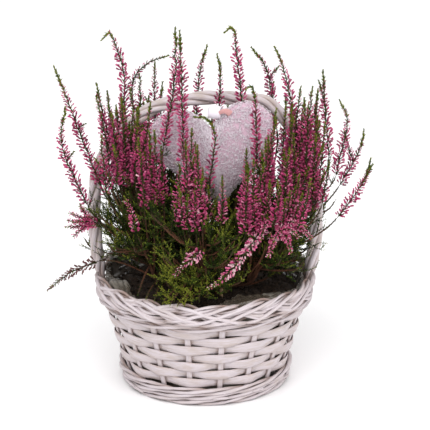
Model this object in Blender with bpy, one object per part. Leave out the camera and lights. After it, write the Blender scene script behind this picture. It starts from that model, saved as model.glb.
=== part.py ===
"""A heather in full flower, planted in a round wicker basket with an arched handle.

Metres, +Z up. The origin is the middle of the basket's flat underside. The front faces -Y.
"""

import math
import random

import bmesh
import bpy
import numpy as np
from mathutils import Vector

MM = 0.001
GAP = 0.3  # mm between pieces that touch
SLIVER = 0.02

# Basket, in millimetres. The wall leans out in a straight line from the foot.
FOOT_RADIUS = 76.0
WALL_SLOPE = 0.28
BASE_RADIUS = 76.4
BASE_THICKNESS = 5.0
BASE_SIDES = 36
STAKES = 18
STAKE_START = math.radians(-180.0)  # this stake and the one across from it are the handle's feet
STAKE_WIDTH = 6.4
STAKE_THICKNESS = 2.4
STAKE_FOOT = 1.0
STAKE_FOOT_WIDTH = 5.0
STAKE_TOP = 95.5

WEAVERS = 7
WEAVER_BOTTOM = 20.2
WEAVER_PITCH = 9.5
WEAVER_HEIGHT = 8.6
WEAVER_THICKNESS = 1.6
WEAVER_SWING = 3.4  # how far a strip swings out of and in from the line of the stakes

WALE_OFFSET = 4.6  # from the line of the stakes to the middle of a round rod outside them
WALE_DIAMETER = 4.4
WALE_SEAT = 0.7
RIM_WALE_WAVE = 0.7
RIM_WALE_HEIGHTS = (89.2, 94.4)
FOOT_WALE_BOTTOM = 0.4
FOOT_WALE_PITCH = 6.2
FOOT_WALE_RODS = 3
FOOT_WALE_WAVE = 0.8
FOOT_WALE_GROOVE = 1.2  # thickness left between two rods

BORDER_HEIGHT = 105.2
BORDER_RADIUS = 107.6
BORDER_RISE = 6.2
BORDER_SWING = 2.5
BORDER_ROD = 5.4
BORDER_WAVES = 6
BORDER_POINTS = 18
BORDER_END = math.radians(4.8)  # where each half stops beside the handle
BORDER_ROOM = 9.5  # what the plant keeps clear of round the border's middle

# Handle: the route of its middle in the XZ plane, left foot to right foot.
HANDLE_ROUTE = (
    (-103.0, 97.0),
    (-107.0, 119.0),
    (-110.0, 152.0),
    (-110.0, 190.0),
    (-101.0, 230.0),
    (-58.0, 277.0),
    (-8.0, 291.0),
    (36.0, 290.0),
    (68.0, 282.0),
    (101.0, 236.0),
    (110.0, 200.0),
    (111.0, 155.0),
    (107.0, 119.0),
    (103.0, 97.0),
)
HANDLE_RADIUS = 7.0
HANDLE_FOOT_TOP = 122.0  # below this the handle narrows down to its core
HANDLE_TWIST = 118.0  # length of one full turn of the rods
HANDLE_STEP = 13.0
HANDLE_GROOVE = 0.82  # share of the radius left between two rods
HANDLE_CORE = 2.6
CORE_BOTTOM = 8.0
CORE_EDGE = 0.6  # share of the core's width that is flat

# Film liner and soil.
LINER_CLEARANCE = 6.2  # inside the line of the stakes
LINER_WALL = 1.0
LINER_FLOOR = BASE_THICKNESS + GAP
LINER_WIDEST = 101.0
LINER_COLUMNS = 16
LINER_RIM = 107.0
LINER_CREST = 9.0
SOIL_HEIGHT = 96.0
SOIL_LUMPS = 3.0
SOIL_DISH = 5.0  # how far the edge of the soil lies below its middle
SOIL_EDGE = 0.8
HOLE_DEPTH = 20.0

# Heart on its stick.
HEART_CENTRE = (10.0, -38.0, 244.0)
HEART_WIDTH = 124.0
HEART_HEIGHT = 100.0
HEART_DEPTH = 30.0
HEART_TILT = math.radians(7.0)
HEART_POINTS = 24
STICK_RADIUS = 1.8
# Rings of the heart, back to front: share of its outline, share of half its depth.
HEART_RINGS = ((0.45, -1.0), (0.86, -0.7), (1.0, 0.0), (0.86, 0.7), (0.45, 1.0))
LOOP_RADIUS = 5.0
LOOP_WIRE = 1.4
LOOP_WIDTH = 5.0
LOOP_LIFT = 10.2
LOOP_POINTS = 8
LOOP_SKEW = 0.2

# Plant: leafy branches in an outer and an inner ring, each with a clump, stalks and free shoots.
BRANCH_RING_RADIUS = 72.0
BRANCH_RING_COUNT = 7
BRANCH_INNER_RADIUS = 24.0
BRANCH_INNER_COUNT = 2
CLUMP_BOTTOM = 114.0
CLUMP_TOP = 192.0
CLUMP_CORE = 13.0
CLUMP_REACH = 24.0
CLUMP_GROWS = 12.0  # height over which the clump comes to its full width
CLUMP_FADES = 30.0
STEM_RADIUS = 2.4
AXIS_PITCH = 13.5
SHOOTS_PER_BRANCH = 6
INNER_SHOOTS = 4
SHOOT_LENGTH = (50.0, 76.0)
UPRIGHT_RISE = 38.0  # height from where an upright leaves its branch to where its florets begin
NEEDLE_REACH = 6.6
NEEDLE_PITCH = 10.8
LEAF_LIFT = 3.0
STALK_APPROACH = 14.0
STALK_REACH = 3.4
STALK_PITCH = 20.0
FLORET_REACH = 5.2
FLORET_PITCH = 7.8
STALK_RADIUS = 1.1
STALK_BOWS = ((0, 0, 0), (0, 0, 12), (0, 0, -12), (0, 14, 0), (0, -14, 0), (14, 0, 0), (-14, 0, 0))
STEM_LEAN = 0.42
HOLE_SLACK = 1.0
CLEARANCE = 0.6
BASKET_OWNER = -1  # branches own space under their own numbers, sprays from SPRAY_OWNER on
SPRAY_OWNER = 100
SEED = 12

# Tall flowering shoots at the back: the branch that each belongs to, and its route from its lowest
# florets to its tip. Each takes the place of one free shoot.
UPRIGHTS = (
    (3, ((22, 74, 196), (24, 80, 236), (23, 84, 266))),
    (3, ((42, 70, 192), (47, 76, 226), (48, 79, 254))),
    (2, ((88, 36, 190), (97, 41, 224), (99, 43, 250))),
    (4, ((-20, 80, 194), (-23, 87, 228), (-21, 90, 258))),
    (4, ((-62, 66, 190), (-68, 73, 220), (-70, 76, 246))),
)

# Sprays: a name, a letter for the look (f in flower, g green, d faded) and the routes of its spikes.
# A route is a short list of points from foot to tip, in millimetres. The first spike stands on a
# branch's stalk, and the others leave the first.
SPRAYS = (
    (
        "left_tall",
        "f",
        ((-104, -12, 207), (-127, -5, 270), (-147, 0, 324)),
        ((-124, -6, 262), (-117, -2, 266)),
    ),
    (
        "left_low",
        "f",
        ((-116, -24, 190), (-138, -32, 250), (-134, -32, 291)),
        ((-134, -31, 238), (-127, -32, 246)),
    ),
    ("hook_left", "f", ((-82, 32, 255), (-81, 38, 305), (-93, 40, 346), (-103, 40, 340))),
    ("left_inner", "f", ((-88, -28, 236), (-98, -29, 283), (-104, -30, 314))),
    ("arching", "g", ((-72, 55, 262), (-73, 60, 294), (-56, 66, 312), (-37, 70, 318))),
    ("pair_left", "f", ((-39, -60, 260), (-28, -61, 324), (-27, -61, 375))),
    ("pair_right", "f", ((-20, -68, 246), (-21, -70, 311), (-23, -68, 373))),
    ("back_middle", "f", ((-10, 66, 250), (-5, 72, 303), (2, 75, 328))),
    ("nodding", "f", ((4, -70, 220), (10, -70, 270), (3, -70, 288), (-10, -70, 291))),
    ("heart_back", "f", ((13, -15, 262), (15, -15, 319), (12, -15, 339))),
    ("hook_middle", "f", ((40, -15, 258), (31, -15, 338), (28, -15, 364), (19, -15, 360))),
    ("hook_right", "f", ((50, -68, 240), (49, -67, 290), (45, -66, 318), (39, -66, 316))),
    ("right_back", "f", ((72, 40, 252), (62, 45, 308), (46, 45, 332)), ((64, 44, 300), (74, 42, 314))),
    ("right_front", "f", ((90, -20, 262), (77, -20, 323), (67, -18, 347))),
    (
        "right_pair",
        "f",
        ((121, -22, 240), (116, -22, 292), (114, -22, 325)),
        ((117, -22, 288), (110, -20, 314)),
    ),
    ("right_behind", "f", ((113, 54, 210), (115, 58, 240), (111, 60, 269))),
    ("right_upright", "f", ((131, 10, 210), (141, 15, 262), (133, 15, 286))),
    ("right_arch", "f", ((137, 36, 192), (156, 46, 224), (161, 50, 246)), ((150, 44, 214), (141, 50, 244))),
    (
        "right_outer",
        "f",
        ((131, -32, 180), (155, -35, 217), (161, -35, 240)),
        ((152, -35, 212), (164, -28, 232)),
    ),
    (
        "left_head",
        "f",
        ((-104, -42, 176), (-118, -42, 178), (-134, -45, 180)),
        ((-110, -42, 177), (-122, -38, 192)),
        ((-112, -42, 177), (-128, -52, 166)),
    ),
    ("faded", "d", ((-108, -33, 133), (-135, -32, 120), (-157, -30, 102))),
    ("front_left", "f", ((-4, -86, 163), (-12, -99, 160), (-31, -106, 143))),
    ("front_low", "f", ((50, -78, 176), (44, -96, 172), (22, -111, 148), (2, -116, 135))),
    (
        "front_head",
        "f",
        ((70, -84, 184), (82, -92, 186), (90, -94, 178)),
        ((72, -85, 184), (66, -98, 176)),
        ((72, -86, 184), (60, -86, 196)),
    ),
    ("front_cluster", "f", ((-65, -70, 176), (-70, -70, 195), (-77, -68, 212))),
    ("mass_left_1", "f", ((-80, -46, 216), (-77, -44, 250), (-75, -42, 280))),
    (
        "mass_left_2",
        "f",
        ((-66, -56, 220), (-66, -52, 255), (-64, -50, 287)),
        ((-66, -54, 238), (-56, -60, 266), (-51, -62, 303)),
    ),
    ("mass_right_1", "f", ((58, -82, 206), (56, -82, 235), (54, -80, 261))),
    ("mass_right_2", "f", ((76, -64, 200), (77, -62, 230), (76, -60, 256))),
    (
        "mass_right_3",
        "f",
        ((88, -42, 190), (90, -41, 222), (89, -40, 250)),
        ((89, -42, 204), (101, -30, 232)),
    ),
    ("back_left", "f", ((-40, 84, 212), (-46, 92, 250), (-44, 96, 284)), ((-43, 88, 232), (-62, 96, 268))),
)


def remove_everything():
    """Start from an empty scene."""
    for thing in list(bpy.data.objects):
        bpy.data.objects.remove(thing)


def make_material(name, colour, roughness):
    """A plain finish: base colour, roughness and no metal."""
    material = bpy.data.materials.new(name)
    material.use_nodes = True
    shader = material.node_tree.nodes["Principled BSDF"]
    shader.inputs["Base Color"].default_value = (*colour, 1.0)
    shader.inputs["Roughness"].default_value = roughness
    shader.inputs["Metallic"].default_value = 0.0
    material.diffuse_color = (*colour, 1.0)
    return material


def make_object(name, points, faces, material, smooth=False):
    """A mesh object from points in millimetres."""
    mesh = bpy.data.meshes.new(name)
    mesh.from_pydata([tuple(point) for point in np.asarray(points, float) * MM], [], faces)
    mesh.materials.append(material)
    thing = bpy.data.objects.new(name, mesh)
    bpy.context.scene.collection.objects.link(thing)
    make_faces_point_out(mesh)
    if smooth:
        mesh.shade_smooth()
        mesh.set_sharp_from_angle(angle=math.radians(40.0))
    return thing


def make_faces_point_out(mesh):
    work = bmesh.new()
    work.from_mesh(mesh)
    bmesh.ops.recalc_face_normals(work, faces=work.faces)
    if work.calc_volume(signed=True) < 0.0:
        bmesh.ops.reverse_faces(work, faces=work.faces)
    work.to_mesh(mesh)
    work.free()


def is_closed(mesh):
    """Whether every edge has two faces and the mesh is not empty."""
    work = bmesh.new()
    work.from_mesh(mesh)
    closed = len(work.faces) > 0 and all(edge.is_manifold for edge in work.edges)
    work.free()
    return closed


def drop_slivers(mesh):
    """Take out the needle-thin faces that a Boolean leaves."""
    work = bmesh.new()
    work.from_mesh(mesh)
    bmesh.ops.triangulate(work, faces=work.faces)
    bmesh.ops.remove_doubles(work, verts=work.verts, dist=SLIVER * MM)
    bmesh.ops.dissolve_degenerate(work, dist=SLIVER * MM, edges=work.edges)
    bmesh.ops.triangulate(work, faces=work.faces)
    if all(edge.is_manifold for edge in work.edges):
        work.to_mesh(mesh)
    work.free()


def combine(body, others, operation):
    """One Boolean of a body with a collection of others, applied, and the others removed."""
    if not others:
        return body
    tools = bpy.data.collections.new(body.name + "_tools")
    bpy.context.scene.collection.children.link(tools)
    for other in others:
        bpy.context.scene.collection.objects.unlink(other)
        tools.objects.link(other)
    modifier = body.modifiers.new("combine", "BOOLEAN")
    modifier.operation = operation
    modifier.operand_type = "COLLECTION"
    modifier.collection = tools
    finished = None
    for solver in ("EXACT", "MANIFOLD"):
        modifier.solver = solver
        view = bpy.context.evaluated_depsgraph_get()
        finished = bpy.data.meshes.new_from_object(body.evaluated_get(view))
        if is_closed(finished):
            break
    body.modifiers.clear()
    body.data = finished
    drop_slivers(finished)
    for other in others:
        bpy.data.objects.remove(other)
    bpy.data.collections.remove(tools)
    return body


def wall_radius(height):
    """Radius of the line of the stakes at a height."""
    return FOOT_RADIUS + WALL_SLOPE * height


def stake_angle(index):
    """Angle of a stake, counted from the handle's left foot."""
    return STAKE_START + math.tau * index / STAKES


def stake_wave(angle, phase=0.0):
    """A wave that has one stake on each crest and the next in each trough."""
    return math.cos((angle - STAKE_START) * STAKES / 2 + phase)


def on_circle(radius, angle, height):
    return (radius * math.cos(angle), radius * math.sin(angle), height)


def smooth_route(points, spacing):
    """Evenly spaced points on a smooth curve (Catmull-Rom) through the given points."""
    points = [np.array(point, float) for point in points]
    if len(points) < 3:
        fine = np.linspace(points[0], points[-1], 33)
    else:
        ends = [2 * points[0] - points[1], *points, 2 * points[-1] - points[-2]]
        fine = []
        for a, b, c, d in zip(ends, ends[1:], ends[2:], ends[3:]):
            for t in np.linspace(0.0, 1.0, 24, endpoint=False):
                curve = (2 * a - 5 * b + 4 * c - d) * t**2 + (3 * b - a - 3 * c + d) * t**3
                fine.append(0.5 * (2 * b + (c - a) * t + curve))
        fine = np.array([*fine, points[-1]])
    steps = np.linalg.norm(np.diff(fine, axis=0), axis=1)
    along = np.concatenate([[0.0], np.cumsum(steps)])
    count = max(2, round(along[-1] / spacing))
    even = np.linspace(0.0, along[-1], count + 1)
    return np.column_stack([np.interp(even, along, fine[:, axis]) for axis in range(3)])


def frames_along(points):
    """Tangent and two side directions at each point, turned as little as possible."""
    tangents = np.gradient(points, axis=0)
    tangents /= np.linalg.norm(tangents, axis=1)[:, None]
    aside = Vector((0.0, 1.0, 0.0)) if abs(tangents[0][1]) < 0.8 else Vector((1.0, 0.0, 0.0))
    frames = []
    last = Vector(tangents[0])
    aside = (aside - last * aside.dot(last)).normalized()
    for tangent in tangents:
        tangent = Vector(tangent)
        aside = last.rotation_difference(tangent) @ aside
        aside = (aside - tangent * aside.dot(tangent)).normalized()
        frames.append((np.array(tangent), np.array(aside), np.array(tangent.cross(aside))))
        last = tangent
    return frames


def ring_faces(rings, sides, closed=False):
    """Quads between rings of points, with the two ends capped, or joined round if closed."""
    faces = []
    last = rings if closed else rings - 1
    for ring in range(last):
        start = ring * sides
        following = ((ring + 1) % rings) * sides
        for side in range(sides):
            beside = (side + 1) % sides
            faces.append((start + side, start + beside, following + beside, following + side))
    if not closed:
        faces.append(tuple(range(sides))[::-1])
        faces.append(tuple(range((rings - 1) * sides, rings * sides)))
    return faces


def rod(name, points, radii, sides, material, closed=False):
    """A round rod with a radius at each point."""
    corners = []
    for (_, aside, across), point, radius in zip(frames_along(points), points, radii):
        for side in range(sides):
            turn = math.tau * side / sides
            corners.append(point + radius * (math.cos(turn) * aside + math.sin(turn) * across))
    return make_object(name, corners, ring_faces(len(points), sides, closed), material, True)


def hoop(name, segments, section, material):
    """A closed ring round the Z axis. section(angle) lists its corners as (radius, height)."""
    corners = []
    for segment in range(segments):
        angle = STAKE_START + math.tau * segment / segments
        corners.extend(on_circle(radius, angle, height) for radius, height in section(angle))
    sides = len(corners) // segments
    return make_object(name, corners, ring_faces(segments, sides, closed=True), material)


def bristled(name, points, inner, outer, lift, sides, material):
    """A stem covered with pointed florets or leaves.

    Every other corner of a ring stands out as a point, and the next ring's points stand between
    them, so that the points cover the stem in even ranks. Each is lifted along the stem.
    """
    frames = frames_along(points)
    corners = []
    for ring, ((tangent, aside, across), point) in enumerate(zip(frames, points)):
        plain = ring == 0 or ring == len(points) - 1
        for side in range(sides):
            turn = math.tau * side / sides
            out = math.cos(turn) * aside + math.sin(turn) * across
            stands_out = (ring + side) % 2 == 0 and not plain
            if stands_out:
                corners.append(point + outer[ring] * out + lift[ring] * tangent)
            else:
                corners.append(point + inner[ring] * out)
    faces = []
    for ring in range(len(points) - 1):
        start = ring * sides
        following = start + sides
        for side in range(sides):
            beside = (side + 1) % sides
            quad = (start + side, start + beside, following + beside, following + side)
            # The fold runs from low corner to low corner, so every point keeps its own four faces.
            if (ring + side) % 2 == 0:
                faces.append((quad[0], quad[1], quad[3]))
                faces.append((quad[1], quad[2], quad[3]))
            else:
                faces.append((quad[0], quad[1], quad[2]))
                faces.append((quad[0], quad[2], quad[3]))
    faces.append(tuple(range(sides))[::-1])
    faces.append(tuple(range((len(points) - 1) * sides, len(points) * sides)))
    return make_object(name, corners, faces, material)


def stake_corners(height, angle, width):
    """The four corners of a flat stake's section at a height."""
    corners = []
    for out, side in ((-1, -1), (1, -1), (1, 1), (-1, 1)):
        radius = wall_radius(height) + out * STAKE_THICKNESS / 2
        x, y, z = on_circle(radius, angle, height)
        shift = side * width / 2
        corners.append((x - math.sin(angle) * shift, y + math.cos(angle) * shift, z))
    return corners


def build_frame(wicker):
    """Base plate with the stakes that stand in its edge, all but the handle's own two."""
    corners = []
    for height in (0.0, BASE_THICKNESS):
        for side in range(BASE_SIDES):
            corners.append(on_circle(BASE_RADIUS, STAKE_START + math.tau * side / BASE_SIDES, height))
    frame = make_object("basket_frame", corners, ring_faces(2, BASE_SIDES), wicker)
    stakes = []
    for index in range(STAKES):
        if index in (0, STAKES // 2):
            continue
        corners = []
        for height, width in ((STAKE_FOOT, STAKE_FOOT_WIDTH), (STAKE_TOP, STAKE_WIDTH)):
            corners.extend(stake_corners(height, stake_angle(index), width))
        stakes.append(make_object(f"stake_{index}", corners, ring_faces(2, 4), wicker))
    return combine(frame, stakes, "UNION")


def build_weavers(wicker):
    """Flat strips that pass outside one stake and inside the next."""
    for row in range(WEAVERS):
        bottom = WEAVER_BOTTOM + WEAVER_PITCH * row
        top = bottom + WEAVER_HEIGHT
        side = 1.0 if row % 2 == 0 else -1.0

        def section(angle):
            swing = side * WEAVER_SWING * stake_wave(angle)
            half = WEAVER_THICKNESS / 2
            return (
                (wall_radius(bottom) + swing + half, bottom),
                (wall_radius(top) + swing + half, top),
                (wall_radius(top) + swing - half, top),
                (wall_radius(bottom) + swing - half, bottom),
            )

        hoop(f"weaver_{row + 1}", STAKES * 2, section, wicker)


def build_wales(wicker):
    """Round rods outside the stakes: a band of three at the foot and two under the border."""

    def foot_section(angle):
        inside = STAKE_THICKNESS / 2 + WALE_SEAT
        top = FOOT_WALE_BOTTOM + FOOT_WALE_PITCH * FOOT_WALE_RODS
        bottom = FOOT_WALE_BOTTOM
        corners = [(wall_radius(top) + inside, top), (wall_radius(bottom) + inside, bottom)]
        for row in range(FOOT_WALE_RODS):
            wave = FOOT_WALE_WAVE * stake_wave(angle, row * math.tau / FOOT_WALE_RODS)
            for share, out in ((0.06, FOOT_WALE_GROOVE), (0.5, WALE_DIAMETER + wave)):
                height = bottom + FOOT_WALE_PITCH * (row + share)
                corners.append((wall_radius(height) + inside + out, height))
        return corners

    hoop("foot_wale", STAKES * 2, foot_section, wicker)
    for index, height in enumerate(RIM_WALE_HEIGHTS):

        def rim_section(angle):
            middle = wall_radius(height) + WALE_OFFSET + RIM_WALE_WAVE * stake_wave(angle, index * math.pi)
            turns = [math.tau * (side + 0.5) / 4 for side in range(4)]
            radius = WALE_DIAMETER / 2
            return [(middle + radius * math.cos(turn), height - radius * math.sin(turn)) for turn in turns]

        hoop(f"rim_wale_{index + 1}", STAKES * 2, rim_section, wicker)


def build_border(wicker):
    """Three rods plaited flat, in two halves between the handle's feet."""
    for name, start in (("border_front", math.pi), ("border_back", 0.0)):
        angles = np.linspace(start + BORDER_END, start + math.pi - BORDER_END, BORDER_POINTS)
        strands = []
        for strand in range(3):
            phase = BORDER_WAVES * angles + strand * math.tau / 3
            radius = BORDER_RADIUS + BORDER_SWING * np.sin(2 * phase)
            height = BORDER_HEIGHT + BORDER_RISE * np.sin(phase)
            points = np.column_stack([radius * np.cos(angles), radius * np.sin(angles), height])
            strands.append(rod(f"{name}_{strand}", points, [BORDER_ROD / 2] * len(points), 4, wicker))
        strands[0].name = name
        combine(strands[0], strands[1:], "UNION")


def core_corners(sign, height):
    """Six corners of the handle's flat core, in the order that the rope's rings use."""
    half_wide = STAKE_WIDTH / 2
    half_thick = sign * STAKE_THICKNESS / 2
    middle = np.array([sign * wall_radius(height), 0.0, height])
    offsets = (
        (0.0, half_wide),
        (half_thick, half_wide * CORE_EDGE),
        (half_thick, -half_wide * CORE_EDGE),
        (0.0, -half_wide),
        (-half_thick, -half_wide * CORE_EDGE),
        (-half_thick, half_wide * CORE_EDGE),
    )
    return [middle + np.array([x, y, 0.0]) for x, y in offsets]


def build_handle(wicker):
    """Three rods twisted round each other, which narrow to a flat core at each foot."""
    route = smooth_route([(x, 0.0, z) for x, z in HANDLE_ROUTE], HANDLE_STEP)
    along = HANDLE_STEP * np.arange(len(route))
    corners = [*core_corners(-1.0, CORE_BOTTOM), *core_corners(-1.0, STAKE_TOP)]
    for (_, aside, across), point, distance in zip(frames_along(route), route, along):
        share = min(1.0, max(0.0, (point[2] - STAKE_TOP) / (HANDLE_FOOT_TOP - STAKE_TOP)))
        size = HANDLE_CORE + (HANDLE_RADIUS - HANDLE_CORE) * share
        twist = math.tau * (distance - along[-1] / 2) / HANDLE_TWIST if share == 1.0 else 0.0
        for side in range(6):
            turn = math.tau * side / 6 + twist
            lobe = 1.0 if side % 2 == 0 else HANDLE_GROOVE
            corners.append(point + size * lobe * (math.cos(turn) * aside + math.sin(turn) * across))
    corners += [*core_corners(1.0, STAKE_TOP), *core_corners(1.0, CORE_BOTTOM)]
    make_object("handle", corners, ring_faces(len(corners) // 6, 6), wicker, True)


def liner_radius(angle, height):
    """Outer radius of the crumpled film."""
    crumple = 0.7 * math.cos(9 * angle + 1.0) * height / LINER_RIM
    return min(wall_radius(height) - LINER_CLEARANCE + crumple, LINER_WIDEST)


def liner_rim(angle):
    """Height of the film's edge, which stands up highest at the left and the front right."""
    left = max(0.0, math.cos(angle - math.radians(200.0))) ** 6
    right = max(0.0, math.cos(angle - math.radians(-52.0))) ** 10
    return LINER_RIM + LINER_CREST * max(left, 0.6 * right) + 1.2 * math.cos(5 * angle)


def build_liner(film):
    """Thin film cup between the wicker and the soil."""
    angles = [math.tau * i / LINER_COLUMNS for i in range(LINER_COLUMNS)]
    corners = []
    for share, inwards in ((0.0, 0.0), (0.55, 0.0), (1.0, 0.0), (1.0, 1.0), (0.55, 1.0), (0.0, 1.0)):
        for angle in angles:
            floor = LINER_FLOOR + inwards * LINER_WALL
            height = floor + (liner_rim(angle) - floor) * share
            corners.append(on_circle(liner_radius(angle, height) - inwards * LINER_WALL, angle, height))
    make_object("liner", corners, ring_faces(6, LINER_COLUMNS), film, True)


def soil_height(x, y):
    """Height of the lumpy soil."""
    lumps = math.sin(0.11 * x + 0.5) * math.cos(0.13 * y) + 0.5 * math.sin(0.23 * (x + y))
    return SOIL_HEIGHT + SOIL_LUMPS * lumps - 0.0004 * (x * x + y * y)


def build_soil(earth, holes):
    """Soil that fills the film, with a plain hole for each stem and for the stick."""
    angles = [math.tau * i / LINER_COLUMNS for i in range(LINER_COLUMNS)]
    inset = LINER_WALL + GAP
    corners = []
    bottom = LINER_FLOOR + LINER_WALL + GAP
    for angle in angles:
        corners.append(on_circle(liner_radius(angle, bottom) - inset, angle, bottom))
    edge = SOIL_HEIGHT - SOIL_DISH
    for share in (1.0, 0.55):
        for angle in angles:
            reach = share * (liner_radius(angle, edge) - inset - SOIL_EDGE)
            x, y, _ = on_circle(reach, angle, 0.0)
            corners.append((x, y, edge if share == 1.0 else soil_height(x, y)))
    soil = make_object("soil", corners, ring_faces(3, LINER_COLUMNS), earth)
    cutters = []
    for index, (x, y, radius) in enumerate(holes):
        points = np.array([(x, y, SOIL_HEIGHT - HOLE_DEPTH), (x, y, SOIL_HEIGHT + 20.0)])
        cutters.append(rod(f"hole_{index}", points, [radius, radius], 6, earth))
    return combine(soil, cutters, "DIFFERENCE")


def heart_outline(count):
    """Points round a heart, from the notch, in a unit square centred on zero."""
    turns = np.linspace(0.0, math.tau, count, endpoint=False)
    across = 0.8 * np.sin(turns) ** 3 + 0.2 * np.sin(turns)
    up = (13 * np.cos(turns) - 5 * np.cos(2 * turns) - 2 * np.cos(3 * turns) - np.cos(4 * turns)) / 14.5
    return 0.5 * np.column_stack([across, up + 0.17])


def heart_edge():
    """Points round the heart's edge from its notch, tilted, in millimetres across and up."""
    outline = heart_outline(HEART_POINTS) * (HEART_WIDTH, HEART_HEIGHT)
    cosine, sine = math.cos(HEART_TILT), math.sin(HEART_TILT)
    return np.column_stack([outline @ (cosine, -sine), outline @ (sine, cosine)])


def build_heart(fleece, wood, ribbon):
    """Padded heart on a stick, with a small loop in its notch."""
    centre = np.array(HEART_CENTRE)
    edge = heart_edge()
    corners = []
    for share, bulge in HEART_RINGS:
        for x, z in edge:
            corners.append(centre + (x * share, bulge * HEART_DEPTH / 2, z * share))
    make_object("heart", corners, ring_faces(len(HEART_RINGS), HEART_POINTS), fleece, True)

    tip_x, tip_z = edge[HEART_POINTS // 2]
    top = centre + (tip_x, 0.0, tip_z - GAP)
    foot = np.array([top[0], top[1], SOIL_HEIGHT - HOLE_DEPTH + GAP])
    rod("heart_stick", np.array([foot, top]), [STICK_RADIUS] * 2, 6, wood)

    # The loop is a flat band, its ring almost square to the heart.
    notch_x, notch_z = edge[0]
    middle = centre + (notch_x, 0.0, notch_z + LOOP_LIFT)
    corners = []
    for turn in np.linspace(0.0, math.tau, LOOP_POINTS, endpoint=False):
        out = np.array([LOOP_SKEW * math.cos(turn), math.cos(turn), math.sin(turn)])
        aside = np.array([1.0, -LOOP_SKEW, 0.0])
        for a, b in ((-1, -1), (1, -1), (1, 1), (-1, 1)):
            radius = LOOP_RADIUS + a * LOOP_WIRE / 2
            corners.append(middle + radius * out + LOOP_WIDTH / 2 * b * aside)
    make_object("heart_ribbon", corners, ring_faces(LOOP_POINTS, 4, closed=True), ribbon, True)
    return foot


class Space:
    """Keeps the pieces of different nodes apart: balls that are already taken, each with an owner."""

    def __init__(self):
        self.points = np.empty((0, 3))
        self.radii = np.empty(0)
        self.owners = np.empty(0, int)

    def take(self, owner, points, radii):
        self.points = np.vstack([self.points, points])
        self.radii = np.concatenate([self.radii, radii])
        self.owners = np.concatenate([self.owners, np.full(len(points), owner)])

    def is_clear(self, owner, points, radii):
        others = self.owners != owner
        apart = np.linalg.norm(points[:, None, :] - self.points[None, others, :], axis=2)
        room = radii[:, None] + self.radii[None, others] + CLEARANCE
        return bool((apart > room).all())


def spike_profile(points, kind):
    """Inner radius, reach and lift of the florets at each ring of a spike."""
    share = np.linspace(0.0, 1.0, len(points))
    distance = FLORET_PITCH * np.arange(len(points))
    fullness = np.clip((distance - 4.0) / 12.0, 0.0, 1.0) * np.clip((1.0 - share) / 0.3, 0.25, 1.0)
    reach = {"f": FLORET_REACH, "g": 3.2, "d": 3.6}[kind]
    inner = STALK_RADIUS + 0.5 * fullness
    inner[-1] = 0.5
    outer = np.maximum(reach * fullness, inner + 0.2)
    lift = 2.6 * fullness
    return inner, outer, lift


def build_sprays(materials, space):
    """Every flower spike, with its side spikes fused to it."""
    feet = []
    for index, (_, kind, *routes) in enumerate(SPRAYS):
        name = f"spray_{index + 1:02d}"
        spikes = []
        lines = [smooth_route(route, FLORET_PITCH) for route in routes]
        for number, points in enumerate(lines):
            inner, outer, lift = spike_profile(points, kind)
            spikes.append(bristled(f"{name}_{number}", points, inner, outer, lift, 6, materials[kind]))
            space.take(SPRAY_OWNER + index, points, outer + 0.4)
        spikes[0].name = name
        combine(spikes[0], spikes[1:], "UNION")
        heading = lines[0][1] - lines[0][0]
        feet.append((index, lines[0][0], heading / np.linalg.norm(heading)))
    return feet


def branch_places():
    """Middle of each branch's clump: an outer ring and a few inside it."""
    places = []
    for index in range(BRANCH_RING_COUNT):
        angle = math.radians(-90.0) + math.tau * index / BRANCH_RING_COUNT
        places.append(on_circle(BRANCH_RING_RADIUS, angle, 0.0))
    for index in range(BRANCH_INNER_COUNT):
        angle = math.radians(20.0) + math.tau * index / BRANCH_INNER_COUNT
        places.append(on_circle(BRANCH_INNER_RADIUS, angle, 0.0))
    return places


def branch_axis(place):
    """Route of a branch's main stem, from its hole in the soil to the top of its clump."""
    x, y, _ = place
    root_x, root_y = STEM_LEAN * x, STEM_LEAN * y
    return (
        (root_x, root_y, SOIL_HEIGHT - HOLE_DEPTH + GAP),
        (root_x, root_y, SOIL_HEIGHT - 2.0),
        (root_x * 1.04, root_y * 1.04, SOIL_HEIGHT + 6.0),
        (0.9 * x, 0.9 * y, CLUMP_BOTTOM + 8.0),
        (1.05 * x, 1.05 * y, CLUMP_TOP),
    )


def build_branches(leaf, space, feet, rng):
    """Leafy branches: a woody stem, a clump, stalks that carry the sprays, and free shoots."""
    places = branch_places()
    parts = {}
    axes = []
    for index, place in enumerate(places):
        points = smooth_route(branch_axis(place), AXIS_PITCH)
        height = points[:, 2]
        clump = np.clip((height - CLUMP_BOTTOM) / CLUMP_GROWS, 0.0, 1.0)
        clump *= np.clip((CLUMP_TOP - height) / CLUMP_FADES, 0.0, 1.0)
        inner = STEM_RADIUS + (CLUMP_CORE - STEM_RADIUS) * clump
        tuft = (CLUMP_REACH - CLUMP_CORE) * np.clip(2.0 * clump, 0.3, 1.0)
        outer = np.where(clump > 0.0, inner + tuft, inner)
        inner[-1] = 0.8
        body = bristled(f"branch_{index + 1:02d}", points, inner, outer, LEAF_LIFT * clump, 6, leaf)
        parts[index] = [body]
        axes.append(points)
        space.take(index, points, outer + 0.3)
    for spray, foot, heading in feet:
        place_stalk(spray, foot, heading, axes, parts, space, leaf)
    for index, route in UPRIGHTS:
        place_upright(index, axes[index], route, parts[index], space, leaf)
    for index in sorted(parts, reverse=True):
        place_shoots(index, axes[index], parts[index], space, leaf, rng)
        combine(parts[index][0], parts[index][1:], "UNION")


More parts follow.
